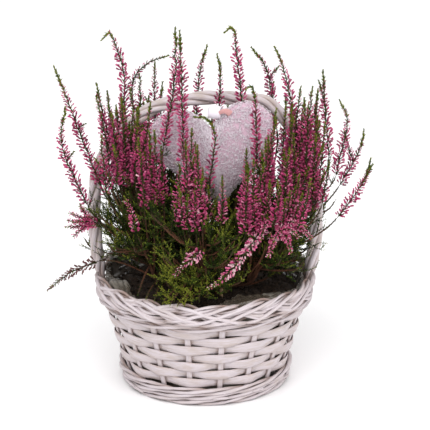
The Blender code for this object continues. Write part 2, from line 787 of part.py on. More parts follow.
def place_stalk(spray, foot, heading, axes, parts, space, leaf):
    """Carry a spray's foot from the nearest branch whose stalk can reach it clear of the rest."""
    order = sorted(range(len(axes)), key=lambda i: np.linalg.norm(axes[i][-1] - foot))
    top = foot - heading * GAP
    below = foot - heading * STALK_APPROACH
    for index in order:
        axis = axes[index]
        starts = axis[(axis[:, 2] > CLUMP_BOTTOM) & (axis[:, 2] < CLUMP_TOP - 10.0)]
        for start in starts[np.argsort(np.abs(starts[:, 2] - foot[2] + 30.0))]:
            for bow in STALK_BOWS:
                middle = (start + below) / 2 + np.array(bow)
                points = np.vstack([smooth_route((start, middle, below), STALK_PITCH), top])
                inner = np.full(len(points), STALK_RADIUS)
                outer = np.full(len(points), STALK_REACH)
                outer[:2] = STALK_RADIUS
                outer[-3:] = STALK_RADIUS
                lift = np.where(outer > STALK_RADIUS, LEAF_LIFT, 0.0)
                test = outer + 0.2
                test[-2:] = 0.0
                if space.is_clear(index, points[:-1], test[:-1]):
                    space.take(index, points, outer)
                    name = f"stalk_{spray}"
                    parts[index].append(bristled(name, points, inner, outer, lift, 4, leaf))
                    return
    raise ValueError(f"no clear stalk for {SPRAYS[spray][0]}")


def place_upright(index, axis, route, parts, space, leaf):
    """A tall flowering shoot: a leafy stalk up from its branch, then florets to its tip."""
    foot = np.array(route[0], float)
    start = axis[np.argmin(np.abs(axis[:, 2] - foot[2] + UPRIGHT_RISE))]
    below = (start + foot) / 2 + (0.0, 0.0, UPRIGHT_RISE / 8)
    points = smooth_route((start, below, *route), NEEDLE_PITCH)
    inner = np.full(len(points), STALK_RADIUS)
    inner[-1] = 0.4
    outer = np.where(points[:, 2] < foot[2], STALK_REACH, FLORET_REACH)
    outer[0] = inner[0]
    outer[-2:] = (3.0, 0.4)
    if not space.is_clear(index, points, outer + 0.3):
        raise ValueError(f"no room for the upright at {route[-1]}")
    space.take(index, points, outer)
    lift = np.full(len(points), LEAF_LIFT)
    parts.append(bristled(f"upright_{index}_{len(parts)}", points, inner, outer, lift, 4, leaf))


def place_shoots(index, axis, shoots, space, leaf, rng):
    """Free leafy shoots, fanned round a branch by the golden angle and kept clear of the rest."""
    golden = math.pi * (3.0 - math.sqrt(5.0))
    clump = axis[(axis[:, 2] > CLUMP_BOTTOM + 4.0) & (axis[:, 2] < CLUMP_TOP - 16.0)]
    made = 0
    wanted = SHOOTS_PER_BRANCH if index < BRANCH_RING_COUNT else INNER_SHOOTS
    wanted -= sum(1 for branch, _ in UPRIGHTS if branch == index)
    for attempt in range(240):
        if made == wanted:
            break
        turn = golden * attempt + rng.uniform(-0.3, 0.3)
        share = (made + 0.5) / wanted
        rise = math.radians(rng.uniform(-4.0, 20.0) + 50.0 * share)
        start = clump[min(len(clump) - 1, int(share * len(clump)))]
        out = np.array([math.cos(turn) * math.cos(rise), math.sin(turn) * math.cos(rise), math.sin(rise)])
        outwards = out[0] * start[0] + out[1] * start[1]
        if outwards < -30.0 * rng.random():
            continue
        length = rng.uniform(*SHOOT_LENGTH)
        tip = start + out * length + np.array([0.0, 0.0, rng.uniform(2.0, 12.0)])
        whole = smooth_route((start, start + out * length * 0.5, tip), NEEDLE_PITCH)
        points = np.vstack([whole[:1], whole[2:]])
        inner = np.full(len(points), 1.1)
        inner[-1] = 0.4
        outer = np.full(len(points), NEEDLE_REACH)
        outer[0] = inner[0]
        outer[-2:] = (3.0, 0.4)
        lift = np.full(len(points), 0.55 * NEEDLE_PITCH)
        if space.is_clear(index, points, outer + 0.3):
            space.take(index, points, outer)
            shoots.append(bristled(f"shoot_{index}_{made}", points, inner, outer, lift, 4, leaf))
            made += 1


def take_basket(space, stick_foot):
    """Mark what the plant has to grow clear of: handle, border, heart and stick."""
    handle = smooth_route([(x, 0.0, z) for x, z in HANDLE_ROUTE], 4.0)
    space.take(BASKET_OWNER, handle, np.full(len(handle), HANDLE_RADIUS))
    rim = [on_circle(BORDER_RADIUS, math.tau * i / 180, BORDER_HEIGHT) for i in range(180)]
    space.take(BASKET_OWNER, np.array(rim), np.full(len(rim), BORDER_ROOM))
    edge = heart_edge()
    for share in (0.1, 0.4, 0.7, 0.88):
        lumps = np.array(HEART_CENTRE) + share * np.column_stack([edge[:, 0], 0 * edge[:, 0], edge[:, 1]])
        space.take(BASKET_OWNER, lumps, np.full(len(lumps), HEART_DEPTH / 2))
    stick = np.array([(stick_foot[0], stick_foot[1], z) for z in np.arange(80.0, 200.0, 4.0)])
    space.take(BASKET_OWNER, stick, np.full(len(stick), STICK_RADIUS + 3.0))


def main():
    remove_everything()
    rng = random.Random(SEED)
    wicker = make_material("washed_wicker", (0.72, 0.66, 0.64), 0.75)
    film = make_material("clear_film", (0.62, 0.62, 0.6), 0.3)
    earth = make_material("dark_soil", (0.035, 0.022, 0.016), 0.95)
    fleece = make_material("pale_fleece", (0.78, 0.66, 0.74), 0.95)
    wood = make_material("bare_wood", (0.5, 0.36, 0.22), 0.7)
    ribbon = make_material("ribbon", (0.85, 0.75, 0.8), 0.6)
    leaf = make_material("heather_leaf", (0.06, 0.14, 0.03), 0.6)
    petals = {
        "f": make_material("heather_flower", (0.55, 0.06, 0.24), 0.6),
        "g": make_material("green_tip", (0.2, 0.3, 0.06), 0.6),
        "d": make_material("faded_flower", (0.2, 0.09, 0.1), 0.8),
    }
    build_frame(wicker)
    build_weavers(wicker)
    build_wales(wicker)
    build_border(wicker)
    build_handle(wicker)
    build_liner(film)
    foot = build_heart(fleece, wood, ribbon)
    holes = [(foot[0], foot[1], STICK_RADIUS + HOLE_SLACK)]
    for x, y, _ in branch_places():
        holes.append((STEM_LEAN * x, STEM_LEAN * y, STEM_RADIUS + HOLE_SLACK))
    build_soil(earth, holes)

    space = Space()
    take_basket(space, foot)
    feet = build_sprays(petals, space)
    build_branches(leaf, space, feet, rng)


main()
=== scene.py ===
import math

import bpy
import numpy as np
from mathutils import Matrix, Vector


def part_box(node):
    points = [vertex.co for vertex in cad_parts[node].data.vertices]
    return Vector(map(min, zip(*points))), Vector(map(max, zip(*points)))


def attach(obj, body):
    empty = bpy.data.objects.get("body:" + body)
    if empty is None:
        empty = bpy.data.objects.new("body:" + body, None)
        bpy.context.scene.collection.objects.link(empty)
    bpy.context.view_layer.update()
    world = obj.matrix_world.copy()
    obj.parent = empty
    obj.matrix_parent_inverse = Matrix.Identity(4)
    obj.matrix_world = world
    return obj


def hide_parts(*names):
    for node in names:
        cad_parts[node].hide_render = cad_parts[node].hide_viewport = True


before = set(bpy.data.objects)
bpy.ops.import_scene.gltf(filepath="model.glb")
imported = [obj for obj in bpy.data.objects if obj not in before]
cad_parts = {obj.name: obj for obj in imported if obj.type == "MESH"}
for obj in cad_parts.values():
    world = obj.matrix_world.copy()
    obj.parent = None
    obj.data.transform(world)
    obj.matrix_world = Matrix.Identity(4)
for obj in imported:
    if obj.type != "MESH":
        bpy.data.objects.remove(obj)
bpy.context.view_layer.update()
mm = 0.001
print("frame loaded:", len(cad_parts), "nodes")


# Numbers and arrays

def unit(vectors):
    # every vector divided by its own length
    return vectors / np.maximum(np.linalg.norm(vectors, axis=-1, keepdims=True), 1e-9)


def smoothPath(points, spacing):
    # Catmull-Rom curve through the points, laid out again at even distances
    p = np.asarray(points, float)
    if len(p) < 3:
        p = np.array([p[0], (p[0] + p[1]) / 2, p[1]])
    p = np.vstack([2 * p[0] - p[1], p, 2 * p[-1] - p[-2]])
    t = np.linspace(0, 1, 16, endpoint=False)[None, :, None]
    a, b, c, d = p[:-3, None], p[1:-2, None], p[2:-1, None], p[3:, None]
    fine = 0.5 * (2 * b + (c - a) * t + (2 * a - 5 * b + 4 * c - d) * t**2 + (3 * b - a - 3 * c + d) * t**3)
    fine = np.vstack([fine.reshape(-1, 3), p[-2]])
    along = np.concatenate([[0], np.cumsum(np.linalg.norm(np.diff(fine, axis=0), axis=1))])
    even = np.linspace(0, along[-1], max(3, int(round(along[-1] / spacing)) + 1))
    return np.column_stack([np.interp(even, along, fine[:, k]) for k in range(3)]), even


def reached(start, leave, end, arrive, count):
    # cubic from start to end that leaves and arrives along the given vectors
    t = np.linspace(0, 1, count)[:, None]
    return ((2 * t**3 - 3 * t**2 + 1) * start + (t**3 - 2 * t**2 + t) * leave
            + (3 * t**2 - 2 * t**3) * end + (t**3 - t**2) * arrive)


def ripple(angle, rng, waves, size):
    # a sum of sines with whole numbers of waves to the turn and drawn phases, so that it closes
    phases = rng.uniform(0, math.tau, len(waves))
    return size * sum(np.sin(w * angle + p) for w, p in zip(waves, phases)) / len(waves)


def across(tangents, guide):
    # two unit directions square to each tangent, the first as near the guide as it can be
    side = unit(guide - np.sum(guide * tangents, axis=-1, keepdims=True) * tangents)
    return side, np.cross(tangents, side)


# Parts: arrays of points in millimetres, faces with a finish number, and values at the points

def gridFaces(rows, columns, wrapRows=False, wrapColumns=True):
    # quads between neighbours of a rows by columns grid of points
    r = np.arange(rows if wrapRows else rows - 1)[:, None]
    c = np.arange(columns if wrapColumns else columns - 1)[None, :]
    r2, c2 = (r + 1) % rows, (c + 1) % columns
    return np.stack(np.broadcast_arrays(r * columns + c, r * columns + c2, r2 * columns + c2, r2 * columns + c),
                    -1).reshape(-1, 4)


def facingOut(points, faces):
    # the sum of the pyramids from the origin to each face is negative when faces point inwards
    volume = sum(np.einsum("ij,ij->i", points[faces[:, 0]], np.cross(points[faces[:, k]], points[faces[:, k + 1]])).sum()
                 for k in range(1, faces.shape[1] - 1))
    return faces if volume > 0 else faces[:, ::-1]


def part(points, faces, finish=0, **values):
    # points laid out one after another, with as many rows in every value
    return {"points": points.reshape(-1, 3), "faces": [(faces, finish)],
            "values": {k: np.asarray(v, float).reshape(len(points.reshape(-1, 3)), -1) for k, v in values.items()}}


def joined(parts):
    # one part from many: each one's faces are counted on from the points before it
    starts = np.cumsum([0] + [len(p["points"]) for p in parts])
    return {"points": np.concatenate([p["points"] for p in parts]),
            "faces": [(f + s, n) for p, s in zip(parts, starts) for f, n in p["faces"]],
            "values": {k: np.concatenate([p["values"][k] for p in parts]) for k in parts[0]["values"]}}


def tube(path, radius, sides, guide, wrap=False, flat=1.0, finish=0, strand=0.0, hidden=0.0):
    # a ring of points round each point of the path; flat squeezes the ring along the guide
    tangents = np.roll(path, -1, 0) - np.roll(path, 1, 0) if wrap else np.gradient(path, axis=0)
    side, up = across(unit(tangents), np.broadcast_to(guide, path.shape))
    turn = np.linspace(0, math.tau, sides, endpoint=False)[None, :, None]
    radius = np.broadcast_to(radius, len(path))[:, None, None]
    points = path[:, None] + radius * (flat * np.cos(turn) * side[:, None] + np.sin(turn) * up[:, None])
    steps = np.linalg.norm(np.diff(path, axis=0), axis=1)
    along = np.concatenate([[0], np.cumsum(steps)])[:, None] + 0 * turn[..., 0]
    around = turn[..., 0] / math.tau * 10 + 0 * along
    grain = np.stack([along, around, np.full_like(along, strand)], -1)
    faces = facingOut(points.reshape(-1, 3), gridFaces(len(path), sides, wrap))
    # the last value marks how much painted shade each ring takes
    return part(points, faces, finish, grain=grain, hidden=np.broadcast_to(hidden, len(path)).repeat(sides))


def makePiece(name, whole, materials, nodes=(), smooth=True):
    # the part as a mesh object in metres that rides on the root and stands for its nodes
    mesh = bpy.data.meshes.new(name)
    faces = [row for f, _ in whole["faces"] for row in f.tolist()]
    mesh.from_pydata((whole["points"] * mm).tolist(), [], faces)
    for material in materials:
        mesh.materials.append(material)
    finishes = np.concatenate([np.full(len(f), n, np.int32) for f, n in whole["faces"]])
    mesh.polygons.foreach_set("material_index", finishes)
    mesh.polygons.foreach_set("use_smooth", np.full(len(finishes), smooth))
    for key, value in whole["values"].items():
        kind, field = ("FLOAT", "value") if value.shape[1] == 1 else ("FLOAT_VECTOR", "vector")
        mesh.attributes.new(key, kind, "POINT").data.foreach_set(field, value.astype(np.float32).ravel())
    mesh.update()
    piece = bpy.data.objects.new(name, mesh)
    bpy.context.scene.collection.objects.link(piece)
    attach(piece, "root")
    if nodes:
        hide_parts(*nodes)
    return piece


# Node helpers

def newGroup(name, inputs, outputs):
    # a shader group with its named sockets, given back with its two end nodes
    group = bpy.data.node_groups.new(name, "ShaderNodeTree")
    for label, kind, value in inputs:
        socket = group.interface.new_socket(label, in_out="INPUT", socket_type="NodeSocket" + kind)
        if value is not None:
            socket.default_value = value
    for label, kind in outputs:
        group.interface.new_socket(label, in_out="OUTPUT", socket_type="NodeSocket" + kind)
    return group, group.nodes.new("NodeGroupInput"), group.nodes.new("NodeGroupOutput")


def addNode(tree, kind, **settings):
    # settings name properties, or inputs where their name starts with a capital
    node = tree.nodes.new("ShaderNode" + kind)
    for key, value in settings.items():
        if key[0].isupper():
            node.inputs[key.replace("_", " ")].default_value = value
        else:
            setattr(node, key, value)
    return node


def mixColours(tree, factor, first, second, blend="MIX"):
    # first to second by the factor; each may be a socket or a value
    mix = addNode(tree, "Mix", data_type="RGBA", blend_type=blend)
    for socket, value in ((mix.inputs[0], factor), (mix.inputs[6], first), (mix.inputs[7], second)):
        if isinstance(value, bpy.types.NodeSocket):
            tree.links.new(value, socket)
        else:
            socket.default_value = value if isinstance(value, (int, float)) else (*value, 1.0)
    return mix.outputs[2]


def remapped(tree, value, low, high, toLow=0.0, toHigh=1.0):
    # the value from low to high carried over to another range with soft ends
    node = addNode(tree, "MapRange", interpolation_type="SMOOTHSTEP")
    tree.links.new(value, node.inputs["Value"])
    for socket, number in zip(node.inputs[1:5], (low, high, toLow, toHigh)):
        socket.default_value = number
    return node.outputs["Result"]


def newMaterial(name, **settings):
    # settings are the constant inputs of its Principled shader
    material = bpy.data.materials.new(name)
    material.use_nodes = True
    shader = material.node_tree.nodes["Principled BSDF"]
    for key, value in settings.items():
        shader.inputs[key.replace("_", " ")].default_value = value
    return material, material.node_tree, shader


def attributeOf(tree, name):
    # a value that was worked out with the shape
    return addNode(tree, "Attribute", attribute_type="GEOMETRY", attribute_name=name)


def bumpInto(tree, shader, height, strength, distance):
    # fine relief: the height bends the shader's normal
    bump = addNode(tree, "Bump", Strength=strength, Distance=distance)
    tree.links.new(height, bump.inputs["Height"])
    tree.links.new(bump.outputs["Normal"], shader.inputs["Normal"])


# Finishes

# the darkest brown below goes where rods tuck under one another: painted shade, with some paint the brush missed
wickerFinish = {
    "paint": (0.62, 0.555, 0.585), "thinPaint": (0.50, 0.415, 0.38), "bareRod": (0.30, 0.19, 0.135),
    "missedPaintAndShade": (0.27, 0.17, 0.13), "streakLength": 0.05, "streakWidth": 1.7,
}


def makeWickerGroup():
    # brushed paint over split rods: long streaks along the grain, thin paint, bare wood in patches, and dark brown
    # where rods tuck under one another, which is painted shade with some paint the brush missed
    group, given, out = newGroup(
        "brushed paint on rods",
        [("Grain", "Vector", None), ("Hidden", "Float", 0.0), ("Thin", "Float", 0.5), ("Bare", "Float", 0.5)],
        [("Colour", "Color"), ("Roughness", "Float"), ("Height", "Float")])
    stretch = addNode(group, "VectorMath", operation="MULTIPLY")
    stretch.inputs[1].default_value = (wickerFinish["streakLength"], wickerFinish["streakWidth"], 7.3)
    group.links.new(given.outputs["Grain"], stretch.inputs[0])
    streak = addNode(group, "TexNoise", Scale=1.0, Detail=5.0, Roughness=0.62)
    group.links.new(stretch.outputs[0], streak.inputs["Vector"])
    broad = addNode(group, "VectorMath", operation="MULTIPLY")
    broad.inputs[1].default_value = (0.06, 0.26, 3.1)
    group.links.new(given.outputs["Grain"], broad.inputs[0])
    patch = addNode(group, "TexNoise", Scale=1.0, Detail=3.0, Roughness=0.5)
    group.links.new(broad.outputs[0], patch.inputs["Vector"])
    thin = addNode(group, "Math", operation="MULTIPLY")
    group.links.new(remapped(group, streak.outputs["Fac"], 0.42, 0.68), thin.inputs[0])
    group.links.new(given.outputs["Thin"], thin.inputs[1])
    washed = mixColours(group, thin.outputs[0], wickerFinish["paint"], wickerFinish["thinPaint"])
    blotch = addNode(group, "Math", operation="MULTIPLY")
    group.links.new(remapped(group, patch.outputs["Fac"], 0.46, 0.66, 0.0, 0.8), blotch.inputs[0])
    group.links.new(given.outputs["Thin"], blotch.inputs[1])
    washed = mixColours(group, blotch.outputs[0], washed, wickerFinish["thinPaint"])
    wearAndShade = addNode(group, "Math", operation="MULTIPLY")
    group.links.new(remapped(group, streak.outputs["Fac"], 0.63, 0.74), wearAndShade.inputs[0])
    group.links.new(remapped(group, patch.outputs["Fac"], 0.42, 0.62), wearAndShade.inputs[1])
    bare = addNode(group, "Math", operation="MULTIPLY")
    group.links.new(wearAndShade.outputs[0], bare.inputs[0])
    group.links.new(given.outputs["Bare"], bare.inputs[1])
    washed = mixColours(group, bare.outputs[0], washed, wickerFinish["bareRod"])
    # where parts tuck under, beside and behind one another the colour goes to dark brown: painted shade in the recesses
    shadeAndMissedMask = addNode(group, "Math", operation="MULTIPLY")
    group.links.new(remapped(group, streak.outputs["Fac"], 0.3, 0.6, 0.45, 0.95), shadeAndMissedMask.inputs[0])
    group.links.new(given.outputs["Hidden"], shadeAndMissedMask.inputs[1])
    group.links.new(mixColours(group, shadeAndMissedMask.outputs[0], washed, wickerFinish["missedPaintAndShade"]), out.inputs["Colour"])
    group.links.new(remapped(group, streak.outputs["Fac"], 0.3, 0.8, 0.5, 0.8), out.inputs["Roughness"])
    group.links.new(streak.outputs["Fac"], out.inputs["Height"])
    return group


wickerGroup = makeWickerGroup()


def makeWicker(name, thin, bare):
    # one kind of rod: how thin its paint is, and how much of the wood shows
    material, tree, shader = newMaterial(name)
    wash = addNode(tree, "Group", node_tree=wickerGroup, Thin=thin, Bare=bare)
    tree.links.new(attributeOf(tree, "grain").outputs["Vector"], wash.inputs["Grain"])
    tree.links.new(attributeOf(tree, "hidden").outputs["Fac"], wash.inputs["Hidden"])
    tree.links.new(wash.outputs["Colour"], shader.inputs["Base Color"])
    tree.links.new(wash.outputs["Roughness"], shader.inputs["Roughness"])
    bumpInto(tree, shader, wash.outputs["Height"], 0.5, 0.0012)
    return material


stripWicker = makeWicker("washed strips", 0.8, 0.4)
rodWicker = makeWicker("washed rods", 0.5, 0.6)
handleWicker = makeWicker("washed handle rods", 0.95, 0.5)


def makePlantFinish(name, stops, roughness, footColour, tipColour, shares, specular=0.3):
    # colour from each piece's own tint along a ramp, from another colour at its foot to a third at its end
    material, tree, shader = newMaterial(name, Roughness=roughness)
    shader.inputs["Specular IOR Level"].default_value = specular
    ramp = addNode(tree, "ValToRGB")
    while len(ramp.color_ramp.elements) < len(stops):
        ramp.color_ramp.elements.new(0.5)
    for element, (place, colour) in zip(ramp.color_ramp.elements, stops):
        element.position = place
        element.color = (*colour, 1.0)
    tree.links.new(attributeOf(tree, "tint").outputs["Fac"], ramp.inputs["Fac"])
    along = attributeOf(tree, "along").outputs["Fac"]
    speck = addNode(tree, "TexNoise", Scale=900.0, Detail=2.0)
    tree.links.new(addNode(tree, "TexCoord").outputs["Object"], speck.inputs["Vector"])
    shade = mixColours(tree, remapped(tree, along, *shares[0]), footColour, ramp.outputs["Color"])
    shade = mixColours(tree, remapped(tree, along, *shares[1]), shade, tipColour)
    dark = mixColours(tree, remapped(tree, speck.outputs["Fac"], 0.35, 0.7, 0.0, 0.4), shade, (0.01, 0.008, 0.004))
    tree.links.new(dark, shader.inputs["Base Color"])
    bumpInto(tree, shader, speck.outputs["Fac"], 0.25, 0.0004)
    return material


barkFinish = makePlantFinish("heather bark", (
    (0.0, (0.045, 0.06, 0.014)), (0.35, (0.05, 0.026, 0.014)), (0.7, (0.15, 0.055, 0.028)), (1.0, (0.06, 0.03, 0.02)),
), 0.8, (0.03, 0.02, 0.01), (0.05, 0.07, 0.015), ((-1.0, -0.5), (2.0, 3.0)))
leafFinish = makePlantFinish("heather leaf", (
    (0.0, (0.016, 0.007, 0.003)), (0.16, (0.004, 0.005, 0.0015)), (0.42, (0.007, 0.017, 0.003)),
    (0.72, (0.040, 0.078, 0.009)), (1.0, (0.24, 0.26, 0.030)),
), 0.75, (0.005, 0.008, 0.002), (0.12, 0.16, 0.015), ((-0.2, 0.45), (0.5, 2.1)), 0.08)
bellFinish = makePlantFinish("heather bell", (
    (0.0, (0.10, 0.005, 0.030)), (0.3, (0.30, 0.012, 0.080)), (0.55, (0.58, 0.035, 0.18)), (0.8, (0.78, 0.17, 0.35)),
    (1.0, (0.90, 0.66, 0.68)),
), 0.6, (0.04, 0.02, 0.012), (0.88, 0.32, 0.48), ((0.1, 0.42), (0.5, 1.8)), 0.2)
fadedFinish = makePlantFinish("faded bell", (
    (0.0, (0.09, 0.035, 0.03)), (0.5, (0.16, 0.05, 0.06)), (1.0, (0.3, 0.13, 0.12)),
), 0.7, (0.06, 0.03, 0.02), (0.2, 0.1, 0.08), ((0.0, 0.3), (0.4, 1.6)))
plantFinishes = [barkFinish, leafFinish, bellFinish, fadedFinish]
bark, leaf, bell, faded = range(4)
print("finishes made")


# Basket

basketShape = {
    "footRadius": 76.0, "wallSlope": 0.28, "stakes": 18, "startAngle": -math.pi,
    "stakeWidth": 6.4, "stakeFootWidth": 5.0, "stakeThickness": 2.4, "stakeFoot": 1.0, "stakeTop": 95.5,
    "baseRadius": 76.4, "baseThickness": 5.0,
}
weaverShape = {
    "rows": 7, "bottom": 20.2, "pitch": 9.5, "height": 9.3, "swell": 1.0, "thickness": 1.4, "swing": 2.3, "bow": 0.6,
}
footShape = {"rows": (4.6, 10.4, 16.0), "rods": 3, "waves": 5, "radius": 1.7, "rise": 2.7, "swing": 2.1, "offset": 4.7}
rimShape = {"heights": (89.2, 94.4), "rods": 2, "waves": 7, "radius": 1.5, "rise": 2.1, "swing": 1.4, "offset": 4.7}
borderShape = {
    "height": 105.2, "radius": 107.6, "rise": 5.6, "swing": 3.0, "waves": 6, "rod": 1.5, "apart": 2.95, "rods": 3,
    "end": math.radians(4.0),
}


def wallRadius(height):
    # the basket widens evenly with height
    return basketShape["footRadius"] + basketShape["wallSlope"] * height


def ringPoints(radius, angle, height):
    # from radius, angle and height to places
    return np.stack(np.broadcast_arrays(radius * np.cos(angle), radius * np.sin(angle), height), -1)


def stakeWave(angle):
    # one stake on each crest, the next in each trough
    return np.cos((angle - basketShape["startAngle"]) * basketShape["stakes"] / 2)


def weaverPart(row):
    # over angle and section: a rounded flat section, bowed outwards, carried round in and out of the stakes
    s = weaverShape
    rng = np.random.default_rng(40 + row)
    angle = np.linspace(0, math.tau, 270, endpoint=False)[:, None]
    turn = np.linspace(0, math.tau, 12, endpoint=False)[None, :]
    rounded = np.sign(np.sin(turn)) * np.abs(np.sin(turn)) ** 0.6
    wave = (1 if row % 2 == 0 else -1) * stakeWave(angle)
    height = s["height"] + s["swell"] * (wave + wave**2) + ripple(angle, rng, (5, 11, 19, 31), 0.5)
    z = s["bottom"] + s["pitch"] * row + s["pitch"] / 2 + ripple(angle, rng, (4, 9, 23), 0.5) + height / 2 * rounded
    swing = s["swing"] * wave + ripple(angle, rng, (13, 27, 41), 0.3)
    out = s["thickness"] / 2 * np.sign(np.cos(turn)) * np.abs(np.cos(turn)) ** 0.7 + s["bow"] * (1 - rounded**2)
    points = ringPoints(wallRadius(z) + swing + out, angle, z)
    # the strip's edges, its stretches just beside the stakes and its inner face take the dark brown: painted shade
    # where it tucks behind the stakes, with bare edges and an unpainted inside
    hidden = np.clip(0.6 * np.abs(rounded) ** 12 + 6 * np.clip(-0.84 - wave, 0, 1) + 0.6 * (np.cos(turn) < -0.3), 0, 1)
    # the seam of the grain lies at the back
    grain = np.stack(np.broadcast_arrays(angle * 90, rounded * s["height"] / 2 + np.cos(turn), 0 * angle + row), -1)
    faces = facingOut(points.reshape(-1, 3), gridFaces(270, 12, True))
    return part(points, faces, grain=grain, hidden=hidden)


def waleParts(row, s, height):
    # rods twisted round one another: out and in by a cosine and up and down by a sine of the same phase
    angle = np.linspace(0, math.tau, 250, endpoint=False)
    parts = []
    for k in range(s["rods"]):
        rng = np.random.default_rng(70 + 10 * row + k)
        phase = s["waves"] * angle + math.tau * k / s["rods"] + row * 1.1
        z = height + s["rise"] * np.sin(phase) + ripple(angle, rng, (3, 8, 17), 0.35)
        radius = wallRadius(z) + s["offset"] + s["swing"] * np.cos(phase)
        thick = s["radius"] * (1 + ripple(angle, rng, (5, 14, 33), 0.25))
        # where a rod turns in behind the others it takes the dark brown: painted shade
        tucked = 0.5 - 0.5 * np.cos(phase)
        parts.append(tube(ringPoints(radius, angle, z), thick, 6, (0, 0, 1.0), True, strand=10 + 3 * row + k,
                          hidden=tucked**2))
    return parts


def looseEnds(rng, count, height, radius, size):
    # ends of rods that stick out a little: short tapered rods along the wall, bent outwards
    parts = []
    for k in range(count):
        angle = rng.uniform(0, math.tau) + np.linspace(0, rng.uniform(*size), 9) * rng.choice((-1, 1)) / radius
        share = np.linspace(0, 1, 9)
        z = height + rng.uniform(-4, 4) + rng.uniform(-5, 4) * share
        path = ringPoints(radius + 1.5 + 2.2 * share**2, angle, np.maximum(z, 1.6))
        parts.append(tube(path, 1.5 * np.clip(np.minimum(share * 9 + 0.1, (1 - share) * 3 + 0.35), 0, 1), 7, (0, 0, 1.0),
                          strand=60 + k))
    return parts


def borderParts(start, rng):
    # three strands of rods, plaited flat: height follows a sine, distance from the middle twice its waves
    s = borderShape
    angle = np.linspace(start + s["end"], start + math.pi - s["end"], 160)
    share = np.linspace(0, 1, len(angle))
    parts = []
    for strand in range(3):
        phase = s["waves"] * angle + math.tau * strand / 3 + ripple(angle, rng, (3, 5), 0.25)
        spread = s["apart"] * (1 + ripple(angle, rng, (5, 8, 13), 0.45))
        for k in np.arange(s["rods"]) - (s["rods"] - 1) / 2:
            radius = s["radius"] + s["swing"] * np.sin(2 * phase) + 0.7 * k * np.cos(phase) + ripple(angle, rng, (7, 15, 31), 0.5)
            z = s["height"] + s["rise"] * np.sin(phase) + k * spread + ripple(angle, rng, (6, 13, 29), 0.7)
            taper = np.clip(np.minimum(share, 1 - share) * 40, 0.05, 1)
            thick = s["rod"] * taper * (1 + ripple(angle, rng, (9, 21), 0.25))
            # rods pressed in under the plait take the dark brown: painted shade
            parts.append(tube(ringPoints(radius, angle, z), thick, 7, (0, 0, 1.0), strand=30 + 4 * strand + k + start,
                              hidden=np.clip(1.1 * (0.5 - 0.5 * np.sin(2 * phase)), 0, 1) ** 2))
    return parts


def sweepParts(start, rng):
    # long single rods laid over the plait, from its top edge by the handle down to its foot at the middle
    s = borderShape
    parts = []
    share = np.linspace(0, 1, 32)
    for side in (0, 1):
        for k in range(6):
            reach = math.radians(rng.uniform(34, 52))
            first = math.radians(7 + 13 * k + rng.uniform(-3, 3))
            angle = start + (first + reach * share if side == 0 else math.pi - first - reach * share)
            bend = share**2 * (3 - 2 * share)
            z = s["height"] + 8.6 - (17.5 + rng.uniform(-2, 2)) * bend + ripple(share * math.tau, rng, (2, 3), 0.6)
            radius = s["radius"] + 1.5 + 3.4 * np.sin(math.pi * share) ** 0.7 - 1.5 * (1 - share)
            thick = rng.uniform(1.5, 1.95) * np.clip(np.minimum(share * 12 + 0.15, (1 - share) * 8 + 0.15), 0, 1)
            # each rod's ends, tucked into the plait, take the dark brown: painted shade
            tucked = np.clip(1 - 5 * np.minimum(share, 1 - share), 0, 1)
            parts.append(tube(ringPoints(radius, angle, z), thick, 7, (0, 0, 1.0), strand=44 + 3 * k + side + start,
                              hidden=0.8 * tucked))
    return parts


def stakeParts():
    # flat rods up the wall: a rounded rectangle at each height, a little out of true
    s = basketShape
    z = np.linspace(s["stakeFoot"], s["stakeTop"] + 3, 30)[:, None]
    turn = np.linspace(0, math.tau, 10, endpoint=False)[None, :]
    square = lambda wave: np.sign(wave) * np.abs(wave) ** 0.5
    share = (z - s["stakeFoot"]) / (s["stakeTop"] - s["stakeFoot"])
    parts = []
    for k in range(s["stakes"]):
        if k in (0, s["stakes"] // 2):
            continue
        rng = np.random.default_rng(120 + k)
        angle = s["startAngle"] + math.tau * k / s["stakes"]
        width = s["stakeFootWidth"] + (s["stakeWidth"] - s["stakeFootWidth"]) * share + ripple(share * 3, rng, (1, 3, 7), 0.4)
        ends = np.clip(np.minimum(share + 0.02, 1.05 - share) * 60, 0.1, 1)
        out = s["stakeThickness"] / 2 * square(np.cos(turn)) * ends
        aside = width / 2 * square(np.sin(turn)) * ends + ripple(share * 3, rng, (1, 2), 0.5)
        radius = wallRadius(z) + out
        points = np.stack([radius * math.cos(angle) - aside * math.sin(angle),
                           radius * math.sin(angle) + aside * math.cos(angle), z + 0 * aside], -1)
        grain = np.stack(np.broadcast_arrays(z, 3 * np.sin(turn), 0 * z + 50 + k), -1)
        # the stake's narrow sides take the dark brown: painted shade where the strips cover them
        hidden = np.broadcast_to(np.abs(np.sin(turn)) ** 6 * 0.6, aside.shape)
        parts.append(part(points, facingOut(points.reshape(-1, 3), gridFaces(30, 10)), grain=grain, hidden=hidden))
    return parts


def basePart():
    # a disc woven in rings: over radius and angle its underside dips between the rods, and its top is plain
    s = basketShape
    radius = np.concatenate([np.linspace(0.5, s["baseRadius"], 76), np.linspace(s["baseRadius"], 0.5, 4)])[:, None]
    angle = np.linspace(0, math.tau, 90, endpoint=False)[None, :]
    row = np.floor(radius / 5.0)
    rod = np.abs(np.sin(math.pi * radius / 5.0)) ** 0.6
    over = 0.5 + 0.5 * np.cos(9 * angle + math.pi * row)
    under = np.where(np.arange(80)[:, None] < 76, 1.6 * (1 - rod * (0.45 + 0.55 * over)), s["baseThickness"])
    points = ringPoints(radius, angle, under)
    grain = np.stack(np.broadcast_arrays(angle * radius, radius, row + 80), -1)
    # the dips between the rods take the dark brown: painted shade
    hidden = np.broadcast_to(1 - rod * (0.4 + 0.6 * over), points.shape[:2])
    return part(points, facingOut(points.reshape(-1, 3), gridFaces(80, 90)), grain=grain, hidden=hidden)


